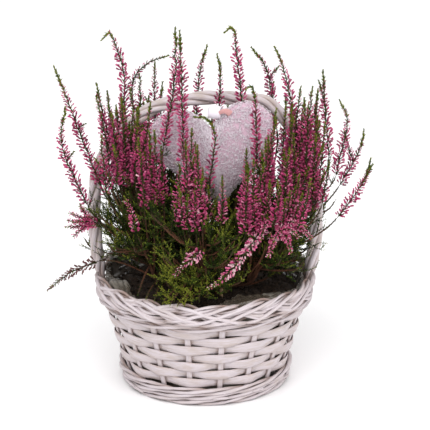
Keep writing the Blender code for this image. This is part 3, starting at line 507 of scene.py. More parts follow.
for row in range(weaverShape["rows"]):
    makePiece(f"strip_{row + 1}", weaverPart(row), [stripWicker], [f"weaver_{row + 1}"])
makePiece("stakes_and_base", joined(stakeParts() + [basePart()]), [rodWicker], ["basket_frame"])
footRods = [p for i, z in enumerate(footShape["rows"]) for p in waleParts(i, footShape, z)]
makePiece("foot_band", joined(footRods + looseEnds(np.random.default_rng(9), 12, 8, 84, (12, 26))), [rodWicker],
          ["foot_wale"])
for i, z in enumerate(rimShape["heights"]):
    makePiece(f"rim_rods_{i + 1}", joined(waleParts(i + 4, rimShape, z)), [rodWicker], [f"rim_wale_{i + 1}"])
for name, start, seed in (("front", math.pi, 5), ("back", 0.0, 6)):
    rng = np.random.default_rng(seed)
    makePiece(f"plait_{name}", joined(borderParts(start, rng) + sweepParts(start, rng)), [rodWicker], [f"border_{name}"])
print("basket made")


# Handle

handleShape = {
    "route": ((-103, 97), (-107, 119), (-110, 152), (-110, 190), (-101, 230), (-58, 277), (-8, 291), (36, 290),
              (68, 282), (101, 236), (110, 200), (111, 155), (107, 119), (103, 97)),
    "rods": 4, "rodRadius": 3.05, "spread": 3.9, "turnLength": 118.0, "footTop": 122.0, "coreBottom": 8.0,
}


def handleParts():
    # rods twisted round the arch's line, which close up and thin to a point as they go down into the border
    s = handleShape
    rng = np.random.default_rng(3)
    route, along = smoothPath([(x, 0, z) for x, z in s["route"]], 2.5)
    side, up = across(unit(np.gradient(route, axis=0)), np.broadcast_to((0, 1.0, 0), route.shape))
    opened = np.clip((route[:, 2] - 96) / (s["footTop"] - 96), 0, 1)
    parts = []
    for k in range(s["rods"]):
        turn = (math.tau * ((along - along[-1] / 2) / s["turnLength"] + k / s["rods"]))[:, None]
        reach = (s["spread"] * (0.25 + 0.75 * opened) * (1 + ripple(along / 40, rng, (1, 2, 5), 0.12)))[:, None]
        thick = s["rodRadius"] * (0.35 + 0.65 * opened) * (1 + ripple(along / 25, rng, (1, 3, 7), 0.1))
        path = route + reach * (np.cos(turn) * side + np.sin(turn) * up)
        rod = tube(path, thick, 10, (0, 1.0, 0), strand=100 + k)
        # the rods' faces towards the arch's middle take the dark brown: painted shade in the grooves between the rods
        deep = np.linalg.norm(rod["points"].reshape(-1, 10, 3) - route[:, None], axis=-1)
        rod["values"]["hidden"] = np.clip((s["spread"] + 1.5 - deep) / 2.2, 0, 1).reshape(-1, 1)
        parts.append(rod)
    for sign in (-1, 1):
        z = np.linspace(s["coreBottom"], 99, 24)
        core = np.column_stack([sign * wallRadius(z), 0 * z, z])
        parts.append(tube(core, np.full(24, 2.9), 8, (1.0, 0, 0), flat=0.45, strand=110 + sign))
    return parts


makePiece("handle_rods", joined(handleParts()), [handleWicker], ["handle"])
print("handle made")


# Film and soil

linerShape = {"clearance": 6.4, "floor": 5.6, "widest": 100.6, "rim": 107.0, "crest": 9.0, "flap": 27.0, "fall": 0.16, "wall": 0.5}
soilShape = {"height": 96.0, "lumps": 3.0, "edge": 91.0, "crumbs": 900, "crumbSize": (0.8, 2.6)}


def aroundAngle(angle, middle, width):
    # a smooth hump round one direction, one at its middle
    apart = (angle - math.radians(middle) + math.pi) % math.tau - math.pi
    return np.exp(-(apart / math.radians(width)) ** 2)


def linerPart():
    # over angle and length: up the wall, over a crest and, where the flap is long, in over the soil; crumpled by sines
    s = linerShape
    rng = np.random.default_rng(21)
    angle = np.linspace(0, math.tau, 200, endpoint=False)[None, :]
    rise = np.linspace(0, 1, 18)[:, None]
    fold = np.linspace(0.06, 1, 14)[:, None]
    humps = (aroundAngle(angle, 160, 20), 0.8 * aroundAngle(angle, 203, 16), 0.75 * aroundAngle(angle, -62, 22))
    top = s["rim"] + s["crest"] * np.maximum.reduce(humps) + ripple(angle, rng, (5, 12, 31, 57), 2.0)
    z = s["floor"] + (top - s["floor"]) * rise
    wall = np.minimum(wallRadius(z) - s["clearance"], s["widest"])
    crush = ripple(angle, rng, (9, 23, 41, 67), 1.3) + ripple(angle + rise * 2, rng, (17, 37, 71), 0.9)
    radius = wall + np.minimum(crush * rise, 0.4)
    flap = 2.5 + s["flap"] * aroundAngle(angle, -62, 24) + 15 * aroundAngle(angle, 203, 16)
    inwards = np.minimum(wallRadius(top) - s["clearance"], s["widest"]) - flap * fold
    drop = top - 1.2 * fold - flap * s["fall"] * fold**1.2 + ripple(angle + fold, rng, (19, 33, 59), 3.2) * fold
    radius = np.vstack([radius, inwards + ripple(angle, rng, (29, 47), 1.2) * fold])
    height = np.vstack([z, np.maximum(drop, 97.0)])
    skin = ringPoints(radius, np.broadcast_to(angle, radius.shape), height)
    inner = ringPoints(radius - s["wall"], np.broadcast_to(angle, radius.shape), height - 0.25)
    points = np.concatenate([skin, inner[::-1]])
    return part(points, facingOut(points.reshape(-1, 3), gridFaces(len(points), 200, True)))


def soilParts():
    # a lumpy disc over radius and angle, closed below, with loose crumbs scattered on it
    s = soilShape
    rng = np.random.default_rng(22)
    radius = np.concatenate([np.linspace(0.3, 93.0, 42), np.linspace(91.5, 0.3, 4)])[:, None]
    angle = np.linspace(0, math.tau, 112, endpoint=False)[None, :]
    x, y = radius * np.cos(angle), radius * np.sin(angle)
    lumps = np.sin(0.11 * x + 0.5) * np.cos(0.13 * y) + 0.5 * np.sin(0.23 * (x + y))
    fine = sum(np.sin(a * x + b * y + c) for a, b, c in rng.uniform(-1.3, 1.3, (14, 3))) / 6
    top = s["height"] + s["lumps"] * lumps - 0.0004 * (x * x + y * y) + fine
    z = np.where(np.arange(46)[:, None] < 42, top, 70.0)
    ground = np.stack([x, y, z], -1)
    disc = part(ground, facingOut(ground.reshape(-1, 3), gridFaces(46, 112)))
    count = s["crumbs"]
    r, a = 92 * np.sqrt(rng.random(count)), rng.uniform(0, math.tau, count)
    cx, cy = r * np.cos(a), r * np.sin(a)
    cz = s["height"] + s["lumps"] * (np.sin(0.11 * cx + 0.5) * np.cos(0.13 * cy) + 0.5 * np.sin(0.23 * (cx + cy))) + 0.5
    corners = np.array([(1, 0, 0), (0, 1, 0), (-1, 0, 0), (0, -1, 0), (0, 0, 1), (0, 0, -1)], float)
    size = rng.uniform(*s["crumbSize"], (count, 1, 1)) * rng.uniform(0.5, 1.0, (count, 6, 1))
    points = np.stack([cx, cy, cz], -1)[:, None] + corners[None] * size
    shape = np.array([(0, 1, 4), (1, 2, 4), (2, 3, 4), (3, 0, 4), (1, 0, 5), (2, 1, 5), (3, 2, 5), (0, 3, 5)])
    faces = (shape[None] + 6 * np.arange(count)[:, None, None]).reshape(-1, 3)
    return [disc, part(points, faces)]


def makeSoilFinish():
    # dark crumbs: brown by a fine noise, with pale grit
    material, tree, shader = newMaterial("potting soil", Roughness=0.95)
    place = addNode(tree, "TexCoord")
    grit = addNode(tree, "TexNoise", Scale=420.0, Detail=8.0, Roughness=0.7)
    tree.links.new(place.outputs["Object"], grit.inputs["Vector"])
    brown = mixColours(tree, remapped(tree, grit.outputs["Fac"], 0.3, 0.75), (0.012, 0.007, 0.004), (0.065, 0.036, 0.02))
    tree.links.new(brown, shader.inputs["Base Color"])
    bumpInto(tree, shader, grit.outputs["Fac"], 0.9, 0.003)
    return material


def makeFilmFinish():
    # thin crumpled film: brown-grey and half clear, with large soft creases and pale painted glints along some of them
    material, tree, shader = newMaterial("clear film", Roughness=0.16, Alpha=0.75, IOR=1.5)
    place = addNode(tree, "TexCoord")
    soft = addNode(tree, "TexNoise", Scale=26.0, Detail=4.0, Distortion=1.2)
    ridge = addNode(tree, "TexNoise", noise_type="RIDGED_MULTIFRACTAL", Scale=38.0, Detail=3.0)
    for noise in (soft, ridge):
        tree.links.new(place.outputs["Object"], noise.inputs["Vector"])
    tint = mixColours(tree, remapped(tree, soft.outputs["Fac"], 0.35, 0.7), (0.12, 0.095, 0.07), (0.34, 0.31, 0.27))
    # pale streaks along the ridges: painted highlights
    tint = mixColours(tree, remapped(tree, ridge.outputs["Fac"], 0.5, 0.9), tint, (0.85, 0.84, 0.85))
    tree.links.new(tint, shader.inputs["Base Color"])
    bumpInto(tree, shader, soft.outputs["Fac"], 0.6, 0.006)
    return material


makePiece("film", linerPart(), [makeFilmFinish()], ["liner"])
makePiece("potting_soil", joined(soilParts()), [makeSoilFinish()], ["soil"], smooth=False)
print("film and soil made")


# Heart

heartShape = {
    "centre": (10.0, -38.0, 244.0), "width": 124.0, "height": 100.0, "depth": 30.0, "tilt": 7.0,
    "curls": 6600, "curlReach": (1.2, 1.9), "curlLength": (3.0, 5.2), "curlRadius": 0.46,
}


def heartOutline(turn):
    # half-width by a cubed sine softened at the notch, height by the sum of four cosines
    wide = 0.8 * np.sin(turn) ** 3 + 0.2 * np.sin(turn)
    tall = (13 * np.cos(turn) - 5 * np.cos(2 * turn) - 2 * np.cos(3 * turn) - np.cos(4 * turn)) / 14.5 + 0.17
    return wide / 2 * heartShape["width"], tall / 2 * heartShape["height"]


def heartSurface(turn, share, face):
    # share goes from the middle to the outline; the pad is fullest in the middle and round at its edge
    s = heartShape
    wide, tall = heartOutline(turn)
    lean = math.radians(s["tilt"])
    inset = 1 - 2.2 / s["width"]
    x, z = wide * share * inset, tall * share * inset
    puff = np.clip(1 - share**2.1, 0, 1) ** 0.55
    y = face * (s["depth"] / 2 - 1.8) * puff
    return np.stack(np.broadcast_arrays(s["centre"][0] + x * math.cos(lean) - z * math.sin(lean), s["centre"][1] + y,
                                        s["centre"][2] + x * math.sin(lean) + z * math.cos(lean)), -1)


def heartPart():
    # both faces as one grid of rings, from the middle of the front to the middle of the back
    turn = np.linspace(0, math.tau, 120, endpoint=False)[None, :]
    reach = np.sin(np.linspace(0.01, math.pi / 2, 28))
    share = np.concatenate([reach, reach[-2::-1]])[:, None]
    face = np.concatenate([-np.ones(28), np.ones(27)])[:, None]
    points = heartSurface(turn, share, face)
    # the pad between the curls takes the lowest tint: painted shade between the curls
    return part(points, facingOut(points.reshape(-1, 3), gridFaces(55, 120)), tint=np.zeros(points.shape[:2]))


def curlParts():
    # short bent fibres: half loops of a three-sided tube, scattered evenly and lying any way on the pad
    s = heartShape
    rng = np.random.default_rng(31)
    count = s["curls"]
    turn, share = rng.uniform(0, math.tau, count), np.sqrt(rng.random(count))
    face = np.where(rng.random(count) < 0.5, -1.0, 1.0)
    base = heartSurface(turn, share, face)
    step = 0.02
    first = unit(heartSurface(turn + step, share, face) - base)
    second = unit(heartSurface(turn, np.clip(share - step, 0, 1), face) - base)
    normal = unit(np.cross(first, second))
    middle = np.array(s["centre"])
    normal *= np.sign(np.sum(normal * (base - middle) * (1, 4, 1), -1))[:, None]
    spin = rng.uniform(0, math.tau, (count, 1))
    lie = unit(np.cos(spin) * first + np.sin(spin) * np.cross(normal, first))
    bend = np.cross(normal, lie)
    t = np.linspace(0, 1, 3)[None, :, None]
    length = rng.uniform(*s["curlLength"], (count, 1, 1))
    rise = rng.uniform(*s["curlReach"], (count, 1, 1))
    path = base[:, None] + length * (t - 0.5) * lie[:, None] + rise * np.sin(math.pi * t) * normal[:, None] \
        + length * 0.4 * np.sin(math.pi * t) * bend[:, None]
    ring = np.linspace(0, math.tau, 3, endpoint=False)[None, None, :, None]
    thick = s["curlRadius"] * np.array([0.45, 1.0, 0.4])[None, :, None, None]
    points = path[:, :, None] + thick * (np.cos(ring) * normal[:, None, None] + np.sin(ring) * bend[:, None, None])
    shape = gridFaces(3, 3)
    faces = (shape[None] + 9 * np.arange(count)[:, None, None]).reshape(-1, 4)
    # each curl is paler at its top than at its two ends: painted highlight over a drawn tone
    tint = np.broadcast_to(rng.uniform(0.72, 1.0, (count, 1, 1)) * np.array([0.8, 1, 0.8])[None, :, None],
                           (count, 3, 3))
    return part(points, faces, tint=tint)


def makeFleece():
    # lilac fleece: paler on the curls' tops as a painted highlight, greyer between them as painted shade, and darker
    # low down as painted shade
    material, tree, shader = newMaterial("curly fleece", Roughness=0.9)
    shader.inputs["Sheen Weight"].default_value = 0.3
    shader.inputs["Sheen Roughness"].default_value = 0.5
    place = addNode(tree, "TexCoord")
    fuzz = addNode(tree, "TexNoise", Scale=700.0, Detail=4.0, Distortion=2.0)
    tree.links.new(place.outputs["Object"], fuzz.inputs["Vector"])
    tone = mixColours(tree, attributeOf(tree, "tint").outputs["Fac"], (0.62, 0.43, 0.52), (1.0, 0.93, 0.99))
    height = addNode(tree, "SeparateXYZ")
    tree.links.new(place.outputs["Object"], height.inputs["Vector"])
    # the lower part of the heart goes towards a greyer mauve: painted shade from the light above
    wearAndShade = mixColours(tree, 0.55, tone, (0.40, 0.27, 0.31))
    tone = mixColours(tree, remapped(tree, height.outputs["Z"], 0.19, 0.252), wearAndShade, tone)
    tone = mixColours(tree, remapped(tree, fuzz.outputs["Fac"], 0.45, 0.7, 0.0, 0.2), tone, (0.7, 0.52, 0.62))
    tree.links.new(tone, shader.inputs["Base Color"])
    bumpInto(tree, shader, fuzz.outputs["Fac"], 0.6, 0.0012)
    return material


heartPiece = makePiece("fleece_heart", joined([heartPart(), curlParts()]), [makeFleece()], ["heart"])


def makePlain(name, colour, other, roughness, scale, sheen=0.0):
    # two close tones mixed by a noise drawn out along the height
    material, tree, shader = newMaterial(name, Roughness=roughness)
    shader.inputs["Sheen Weight"].default_value = sheen
    place = addNode(tree, "TexCoord")
    stretch = addNode(tree, "Mapping")
    stretch.inputs["Scale"].default_value = (1.0, 1.0, 0.15)
    noise = addNode(tree, "TexNoise", Scale=scale, Detail=4.0)
    tree.links.new(place.outputs["Object"], stretch.inputs["Vector"])
    tree.links.new(stretch.outputs["Vector"], noise.inputs["Vector"])
    tree.links.new(mixColours(tree, noise.outputs["Fac"], colour, other), shader.inputs["Base Color"])
    bumpInto(tree, shader, noise.outputs["Fac"], 0.3, 0.0006)
    return material


def stickPart():
    # a straight rod through the stick's box
    low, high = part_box("heart_stick")
    z = np.linspace(low.z, high.z, 12) / mm
    path = np.column_stack([0 * z + (low.x + high.x) / 2 / mm, 0 * z + (low.y + high.y) / 2 / mm, z])
    return tube(path, np.full(12, 1.75), 10, (1.0, 0, 0))


def flattened(whole, path, sides, squash):
    # every ring of the part squeezed about its own point of the path
    middle = path.repeat(sides, 0)
    whole["points"] = middle + (whole["points"] - middle) * squash
    return whole


def ribbonParts():
    # a wide flat band round a small ring, and a short folded tab beside it
    low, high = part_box("heart_ribbon")
    middle = np.array((low + high) / 2) / mm + (3.5, -3.0, 8.0)
    turn = np.linspace(0, math.tau, 40, endpoint=False)
    loop = middle + np.column_stack([1.2 * np.cos(turn), 5.0 * np.cos(turn), 5.2 * np.sin(turn)])
    band = flattened(tube(loop, 6.2, 10, (1.0, 0, 0), True), loop, 10, (1.0, 0.16, 0.16))
    path, _ = smoothPath([middle + (3, -5, 0), middle + (7, -6, 2.5), middle + (11, -6, 2.5), middle + (14, -5, 0)], 1.0)
    tab = tube(path, np.linspace(1.6, 3.4, len(path)), 10, (0, 0, 1.0), finish=1)
    return [band, flattened(tab, path, 10, (1.0, 0.25, 1.0))]


makePiece("stick", stickPart(), [makePlain("bare wood", (0.5, 0.34, 0.2), (0.36, 0.22, 0.12), 0.7, 300.0)],
          ["heart_stick"])
makePiece("ribbon_loop", joined(ribbonParts()), [
    makePlain("pale ribbon", (0.86, 0.82, 0.88), (0.74, 0.7, 0.78), 0.45, 500.0, 0.4),
    makePlain("salmon ribbon", (0.62, 0.32, 0.31), (0.54, 0.26, 0.26), 0.45, 500.0, 0.4)], ["heart_ribbon"])
print("heart made")


# Plant: small shapes that are repeated

leafShape = np.array([(0.1, 0.5, 0.0), (0.1, -0.25, 0.43), (0.1, -0.25, -0.43), (1, 0, 0)], float)
leafFaces = np.array([(0, 1, 3), (1, 2, 3), (2, 0, 3)])


def bellTemplate(sides):
    # a stalk that is a long point, a narrow urn that widens to its mouth, and the hollow of the mouth
    turn = np.linspace(0, math.tau, sides, endpoint=False)
    ring = lambda along, radius: np.column_stack([0 * turn + along, radius * np.cos(turn), radius * np.sin(turn)])
    points = np.vstack([(0, 0, 0), ring(0.45, 0.42), ring(1.0, 0.56), (0.8, 0, 0)])
    k = np.arange(sides)
    n = (k + 1) % sides
    near, far, mouth = 1, 1 + sides, 1 + 2 * sides
    faces = np.vstack([
        np.column_stack([0 * k, near + n, near + k]),
        np.column_stack([near + k, near + n, far + n]), np.column_stack([near + k, far + n, far + k]),
        np.column_stack([far + k, far + n, mouth + 0 * k])])
    return points, faces


bellShapes = {sides: bellTemplate(sides) for sides in (3, 4)}


def scattered(shape, faces, roots, directions, lengths, widths, tint, finish):
    # every copy laid along its direction: the shape's first axis is its length, the others its width
    side, up = across(directions, np.broadcast_to((0.31, 0.17, 0.93), directions.shape))
    axes = np.stack([directions * lengths[:, None], side * widths[:, None], up * widths[:, None]], 1)
    points = roots[:, None] + np.einsum("vk,nkj->nvj", shape, axes)
    every = (faces[None] + len(shape) * np.arange(len(roots))[:, None, None]).reshape(-1, faces.shape[1])
    along = np.broadcast_to(shape[None, :, 0], points.shape[:2])
    return part(points, every, finish, tint=np.broadcast_to(tint[:, None], points.shape[:2]), along=along)


plantShape = {
    "golden": math.pi * (3 - math.sqrt(5)),
    "bellPitch": 0.5, "bellLength": (3.4, 6.2), "bellWidth": 1.6, "bellLift": (0.3, 1.1), "bellStalk": (0.4, 2.4),
    "budPitch": 0.45, "budLength": (3.0, 4.8), "budWidth": 1.6, "knob": 4.5,
    "leafPitch": 0.84, "leafLength": (2.1, 3.1), "leafWidth": 1.15, "leafLift": (0.8, 1.5),
    "twigPitch": 6.4, "twigLength": (14, 32), "sprigLength": (5, 12), "coarse": 1.9,
}


def outerness(points):
    # 1 on the outside of the plant's mass of leaves, towards 0 in its middle; it sets the painted shade deep in the
    # plant
    x, y, z = np.asarray(points, float).reshape(-1, 3).T
    return np.clip(np.maximum(np.hypot(x / 106, y / 92), (z - 118) / 92), 0, 1)


def ranked(path, along, pitch, start, end, rng, lift):
    # roots up a stem every pitch, turned by the golden angle, and pointing out and up by a drawn lift
    count = max(2, int((end - start) / pitch))
    at = np.linspace(start, end, count) + rng.uniform(-0.3, 0.3, count) * pitch
    root = np.column_stack([np.interp(at, along, path[:, k]) for k in range(3)])
    tangents = unit(np.gradient(path, axis=0))
    tangent = unit(np.column_stack([np.interp(at, along, tangents[:, k]) for k in range(3)]))
    side, up = across(tangent, np.broadcast_to((0.9, 0.35, 0.2), tangent.shape))
    turn = (plantShape["golden"] * np.arange(count) + rng.uniform(-0.35, 0.35, count))[:, None]
    out = np.cos(turn) * side + np.sin(turn) * up
    return root, unit(out + rng.uniform(*lift, (count, 1)) * tangent), out, at


def stemPart(path, thick, thin, tint, sides=5):
    # a tube that thins evenly to a point, its tint running from foot to tip
    tapered = tube(path, np.concatenate([np.linspace(thick, thin, len(path) - 1), [0.05]]), sides, (0.9, 0.35, 0.2),
                   finish=bark)
    count = len(tapered["points"])
    tints = np.broadcast_to(np.linspace(*tint, len(path))[:, None], (len(path), sides)).reshape(-1, 1)
    tapered["values"] = {"tint": tints, "along": np.full((count, 1), 0.5)}
    return tapered


def leavesOn(path, along, rng, tone, pitch=None, scale=1.0, start=0.0):
    # short scale leaves up a twig, smaller and paler towards its tip, and darker deep in the plant as painted shade
    s = plantShape
    root, direction, out, at = ranked(path, along, (pitch or s["leafPitch"]), start, along[-1], rng, s["leafLift"])
    fade = np.clip((along[-1] - at) / 6.0, 0.4, 1)
    length = rng.uniform(*s["leafLength"], len(at)) * fade * scale
    # the tint falls towards the plant's middle: painted shade deep in the leaves
    tint = np.clip(rng.normal(tone, 0.12, len(at)) + 0.36 * (at / along[-1]) ** 3 + 0.6 * (outerness(root) - 0.88), 0, 1)
    return scattered(leafShape, leafFaces, root, direction, length, np.full(len(at), s["leafWidth"]) * scale, tint, leaf)


def spikeParts(route, kind, rng, green=18.0, tone=0.45, full=1.0, foot=0.0, sides=4):
    # a thin stem with bells on every side, small leaves among them, and a knobbly tip of green buds
    s = plantShape
    path, along = smoothPath(route, 4.0)
    path[1:-1] += rng.normal(0, 0.35, (len(path) - 2, 3))
    end = along[-1]
    parts = [stemPart(path, 0.75, 0.4, (0.3, 0.05), 4)]
    tip = min(green, 0.45 * end)
    root, direction, out, at = ranked(path, along, s["bellPitch"] / full, foot, end - tip * 0.6, rng, s["bellLift"])
    # gaps come and go along the spike, and it thins out towards its tip
    kept = rng.random(len(at)) < np.clip(1.05 - 0.55 * (at / end) ** 2 + 0.25 * np.sin(at * 1.4), 0.2, 1)
    root, direction, out, at = root[kept], direction[kept], out[kept], at[kept]
    young = np.clip((end - at) / (tip + 24.0), 0.45, 1) * (0.7 if kind == "g" else 1.0)
    length = rng.uniform(*s["bellLength"], len(at)) * young
    width = s["bellWidth"] * young * rng.uniform(0.8, 1.15, len(at))
    tint = np.clip(rng.normal(tone, 0.2, len(at)), 0, 1)
    apart = rng.uniform(*s["bellStalk"], (len(at), 1)) * young[:, None]
    parts.append(scattered(*bellShapes[sides], root + out * apart, direction, length, width, tint,
                           faded if kind == "d" else bell))
    parts.append(leavesOn(path, along, rng, 0.5, 1.25, 1.5))
    root, direction, out, at = ranked(path, along, s["budPitch"], end - tip, end, rng, (0.5, 1.1))
    knob = 0.72 + 0.28 * np.sin(math.tau * at / s["knob"])
    length = rng.uniform(*s["budLength"], len(at)) * knob * np.clip((end - at) / 9.0, 0.55, 1)
    tint = np.clip(rng.normal(0.84 if kind != "d" else 0.4, 0.12, len(at)), 0, 1)
    parts.append(scattered(leafShape, leafFaces, root, direction, length, np.full(len(at), s["budWidth"]), tint,
                           faded if kind == "d" else leaf))
    return parts


def twigParts(start, heading, length, rng, tone):
    # a leafy twig that bends upwards, with leafy sprigs on all sides; deep in the plant a coarse one without, its
    # leaves darker as painted shade
    s = plantShape
    end = start + heading * length + np.array([0, 0, 0.32 * length])
    path, along = smoothPath([start, start + heading * length * 0.5 + np.array([0, 0, 0.05 * length]), end], 7.0)
    if outerness(end)[0] < 0.7:
        return [leavesOn(path, along, rng, tone - 0.12, s["coarse"], s["coarse"])]
    parts = [stemPart(path, 0.45, 0.25, (0.5, 0.15), 3), leavesOn(path, along, rng, tone)]
    count = int(length / 7.0)
    if count:
        root, direction, out, at = ranked(path, along, length / (count + 1), 0.2 * length, 0.85 * length, rng, (0.8, 1.4))
        for base, way in zip(root, direction):
            size = rng.uniform(*s["sprigLength"]) * (0.5 + 0.5 * min(1.0, length / 30))
            sprig, sprigAlong = smoothPath([base, base + way * size * 0.5, base + way * size + (0, 0, 0.2 * size)], 5.0)
            parts.append(leavesOn(sprig, sprigAlong, rng, tone + 0.06))
    return parts


# Plant: where everything grows

sprays = (
    ("f", ((-104, -12, 207), (-127, -5, 270), (-147, 0, 324)), ((-124, -6, 262), (-117, -2, 266))),
    ("f", ((-116, -24, 190), (-138, -32, 250), (-134, -32, 291)), ((-134, -31, 238), (-127, -32, 246))),
    ("f", ((-82, 32, 255), (-81, 38, 305), (-93, 40, 346), (-103, 40, 340))),
    ("f", ((-88, -28, 236), (-98, -29, 283), (-104, -30, 314))),
    ("g", ((-72, 55, 262), (-73, 60, 294), (-56, 66, 312), (-37, 70, 318))),
    ("f", ((-39, -60, 260), (-28, -61, 324), (-27, -61, 375))),
    ("f", ((-20, -68, 246), (-21, -70, 311), (-23, -68, 373))),
    ("f", ((-10, 66, 250), (-5, 72, 303), (2, 75, 328))),
    ("f", ((4, -70, 220), (10, -70, 270), (3, -70, 288), (-10, -70, 291))),
    ("f", ((13, -15, 262), (15, -15, 319), (12, -15, 339))),
    ("f", ((40, -15, 258), (31, -15, 338), (28, -15, 364), (19, -15, 360))),
    ("f", ((50, -68, 240), (49, -67, 290), (45, -66, 318), (39, -66, 316))),
    ("f", ((72, 40, 252), (62, 45, 308), (46, 45, 332)), ((64, 44, 300), (74, 42, 314))),
    ("f", ((90, -20, 262), (77, -20, 323), (67, -18, 347))),
    ("f", ((121, -22, 240), (116, -22, 292), (114, -22, 325)), ((117, -22, 288), (110, -20, 314))),
    ("f", ((113, 54, 210), (115, 58, 240), (111, 60, 269))),
    ("f", ((131, 10, 210), (141, 15, 262), (133, 15, 286))),
    ("f", ((137, 36, 192), (156, 46, 224), (161, 50, 246)), ((150, 44, 214), (141, 50, 244))),
    ("f", ((131, -32, 180), (155, -35, 217), (161, -35, 240)), ((152, -35, 212), (164, -28, 232))),
    ("f", ((-104, -42, 176), (-118, -42, 178), (-134, -45, 180)), ((-110, -42, 177), (-122, -38, 192)),
     ((-112, -42, 177), (-128, -52, 166))),
    ("d", ((-108, -33, 133), (-135, -32, 120), (-157, -30, 102))),
    ("f", ((-4, -86, 163), (-12, -99, 160), (-31, -106, 143))),
    ("f", ((50, -78, 176), (44, -96, 172), (22, -111, 148), (2, -116, 135))),
    ("f", ((70, -84, 184), (82, -92, 186), (90, -94, 178)), ((72, -85, 184), (66, -98, 176)),
     ((72, -86, 184), (60, -86, 196))),
    ("f", ((-65, -70, 176), (-70, -70, 195), (-77, -68, 212))),
    ("f", ((-80, -46, 216), (-77, -44, 250), (-75, -42, 280))),
    ("f", ((-66, -56, 220), (-66, -52, 255), (-64, -50, 287)), ((-66, -54, 238), (-56, -60, 266), (-51, -62, 303))),
    ("f", ((58, -82, 206), (56, -82, 235), (54, -80, 261))),
    ("f", ((76, -64, 200), (77, -62, 230), (76, -60, 256))),
    ("f", ((88, -42, 190), (90, -41, 222), (89, -40, 250)), ((89, -42, 204), (101, -30, 232))),
    ("f", ((-40, 84, 212), (-46, 92, 250), (-44, 96, 284)), ((-43, 88, 232), (-62, 96, 268))),
)
# looks that differ from the rest: the tint of the bells, the length of the green tip, how many bells
sprayLooks = {
    1: {"green": 26.0}, 5: {"green": 8.0, "tone": 0.34, "full": 0.7}, 9: {"green": 30.0, "full": 0.6}, 10: {"green": 22.0, "full": 0.7},
    20: {"tone": 0.6, "green": 2.0, "full": 2.0}, 21: {"green": 8.0, "full": 0.8}, 22: {"tone": 0.85, "green": 4.0},
    23: {"tone": 0.85, "green": 4.0}, 24: {"tone": 0.72, "green": 2.0, "full": 2.0}, 25: {"tone": 0.65, "green": 6.0},
}
# short side spikes that round out the two dense heads
headSpikes = {
    20: (((-112, -43, 178), (-121, -46, 184), (-132, -46, 188)), ((-112, -43, 176), (-122, -40, 172), (-136, -42, 172)),
         ((-110, -42, 178), (-118, -50, 180), (-128, -54, 181)), ((-111, -42, 177), (-117, -38, 186), (-122, -36, 194))),
    24: (((60, -80, 190), (56, -90, 188), (54, -97, 178)), ((78, -80, 190), (86, -88, 192), (96, -92, 190)),
         ((66, -82, 178), (64, -94, 170), (60, -102, 162)), ((76, -84, 180), (80, -96, 174), (82, -102, 166)),
         ((84, -78, 186), (94, -86, 184), (102, -88, 176)), ((70, -80, 192), (72, -86, 202), (76, -88, 210))),
}

branchShape = {
    "ring": 72.0, "ringCount": 7, "inner": 24.0, "innerCount": 2, "lean": 0.42, "hole": 76.3, "soil": 96.0,
    "clumpBottom": 114.0, "clumpTop": 200.0,
}


def branchPlaces():
    # an outer ring of stems and an inner one, at even angles
    s = branchShape
    outer = [(s["ring"], math.radians(-90) + math.tau * k / s["ringCount"]) for k in range(s["ringCount"])]
    inner = [(s["inner"], math.radians(20) + math.tau * k / s["innerCount"]) for k in range(s["innerCount"])]
    return [(r * math.cos(a), r * math.sin(a)) for r, a in outer + inner]


def branchRoute(x, y):
    # up out of the soil close to the middle, then leaning out to the branch's own place
    s = branchShape
    rootX, rootY = s["lean"] * x, s["lean"] * y
    return [(rootX, rootY, s["hole"]), (rootX, rootY, s["soil"] - 2), (rootX * 1.04, rootY * 1.04, s["soil"] + 6),
            (0.9 * x, 0.9 * y, s["clumpBottom"] + 8), (1.05 * x, 1.05 * y, s["clumpTop"])]


branchLines = [smoothPath(branchRoute(x, y), 3.0)[0] for x, y in branchPlaces()]


def clearOfHeart(points, room):
    # false where any of the points comes within room of the heart's box
    c = np.array(heartShape["centre"])
    off = np.abs(np.atleast_2d(points) - c) - room
    return not np.any((off[:, 0] < 62) & (off[:, 1] < 16) & (off[:, 2] < 50))


handleLine, _ = smoothPath([(x, 0, z) for x, z in handleShape["route"]], 4.0)


def clearOfHandle(points, room):
    # the points keep this far from the middle of the handle
    apart = np.linalg.norm(np.atleast_2d(points)[:, None] - handleLine[None], axis=-1)
    return apart.min() > room


def insideReach(points):
    # keeps leaves inside the basket's wall, and over its rim only above the border
    points = np.atleast_2d(points)
    x, y, z = points.T
    # open soil: seen from the front over the left of the rim and over its right
    bareSoil = (x < -48) & (z < 116 - 0.325 * y) | (x > 27) & (z < 99 - 0.325 * y)
    return not np.any((np.hypot(x, y) > np.where(z < 117, 92, 126)) | (z < 99) | bareSoil)


def stalkTo(foot, heading, rng, index=None):
    # from a woody stem just over the soil to the foot of a spike, leaving and arriving along them
    if index is None:
        index = int(np.argmin([np.linalg.norm(line[-1] - foot) for line in branchLines]))
    line = branchLines[index]
    low = line[(line[:, 2] > 104) & (line[:, 2] < 150)]
    for _ in range(14):
        start = low[rng.integers(len(low))]
        far = np.linalg.norm(foot - start)
        rise = unit(foot - start + np.array([0, 0, rng.uniform(0.1, 0.6) * far]))
        path = reached(start, rise * far * 0.8, foot, heading * far * 0.8, max(5, int(far / 6)))
        if clearOfHandle(path[:-2], 9.5) and clearOfHeart(path, 0.0):
            break
    return index, path


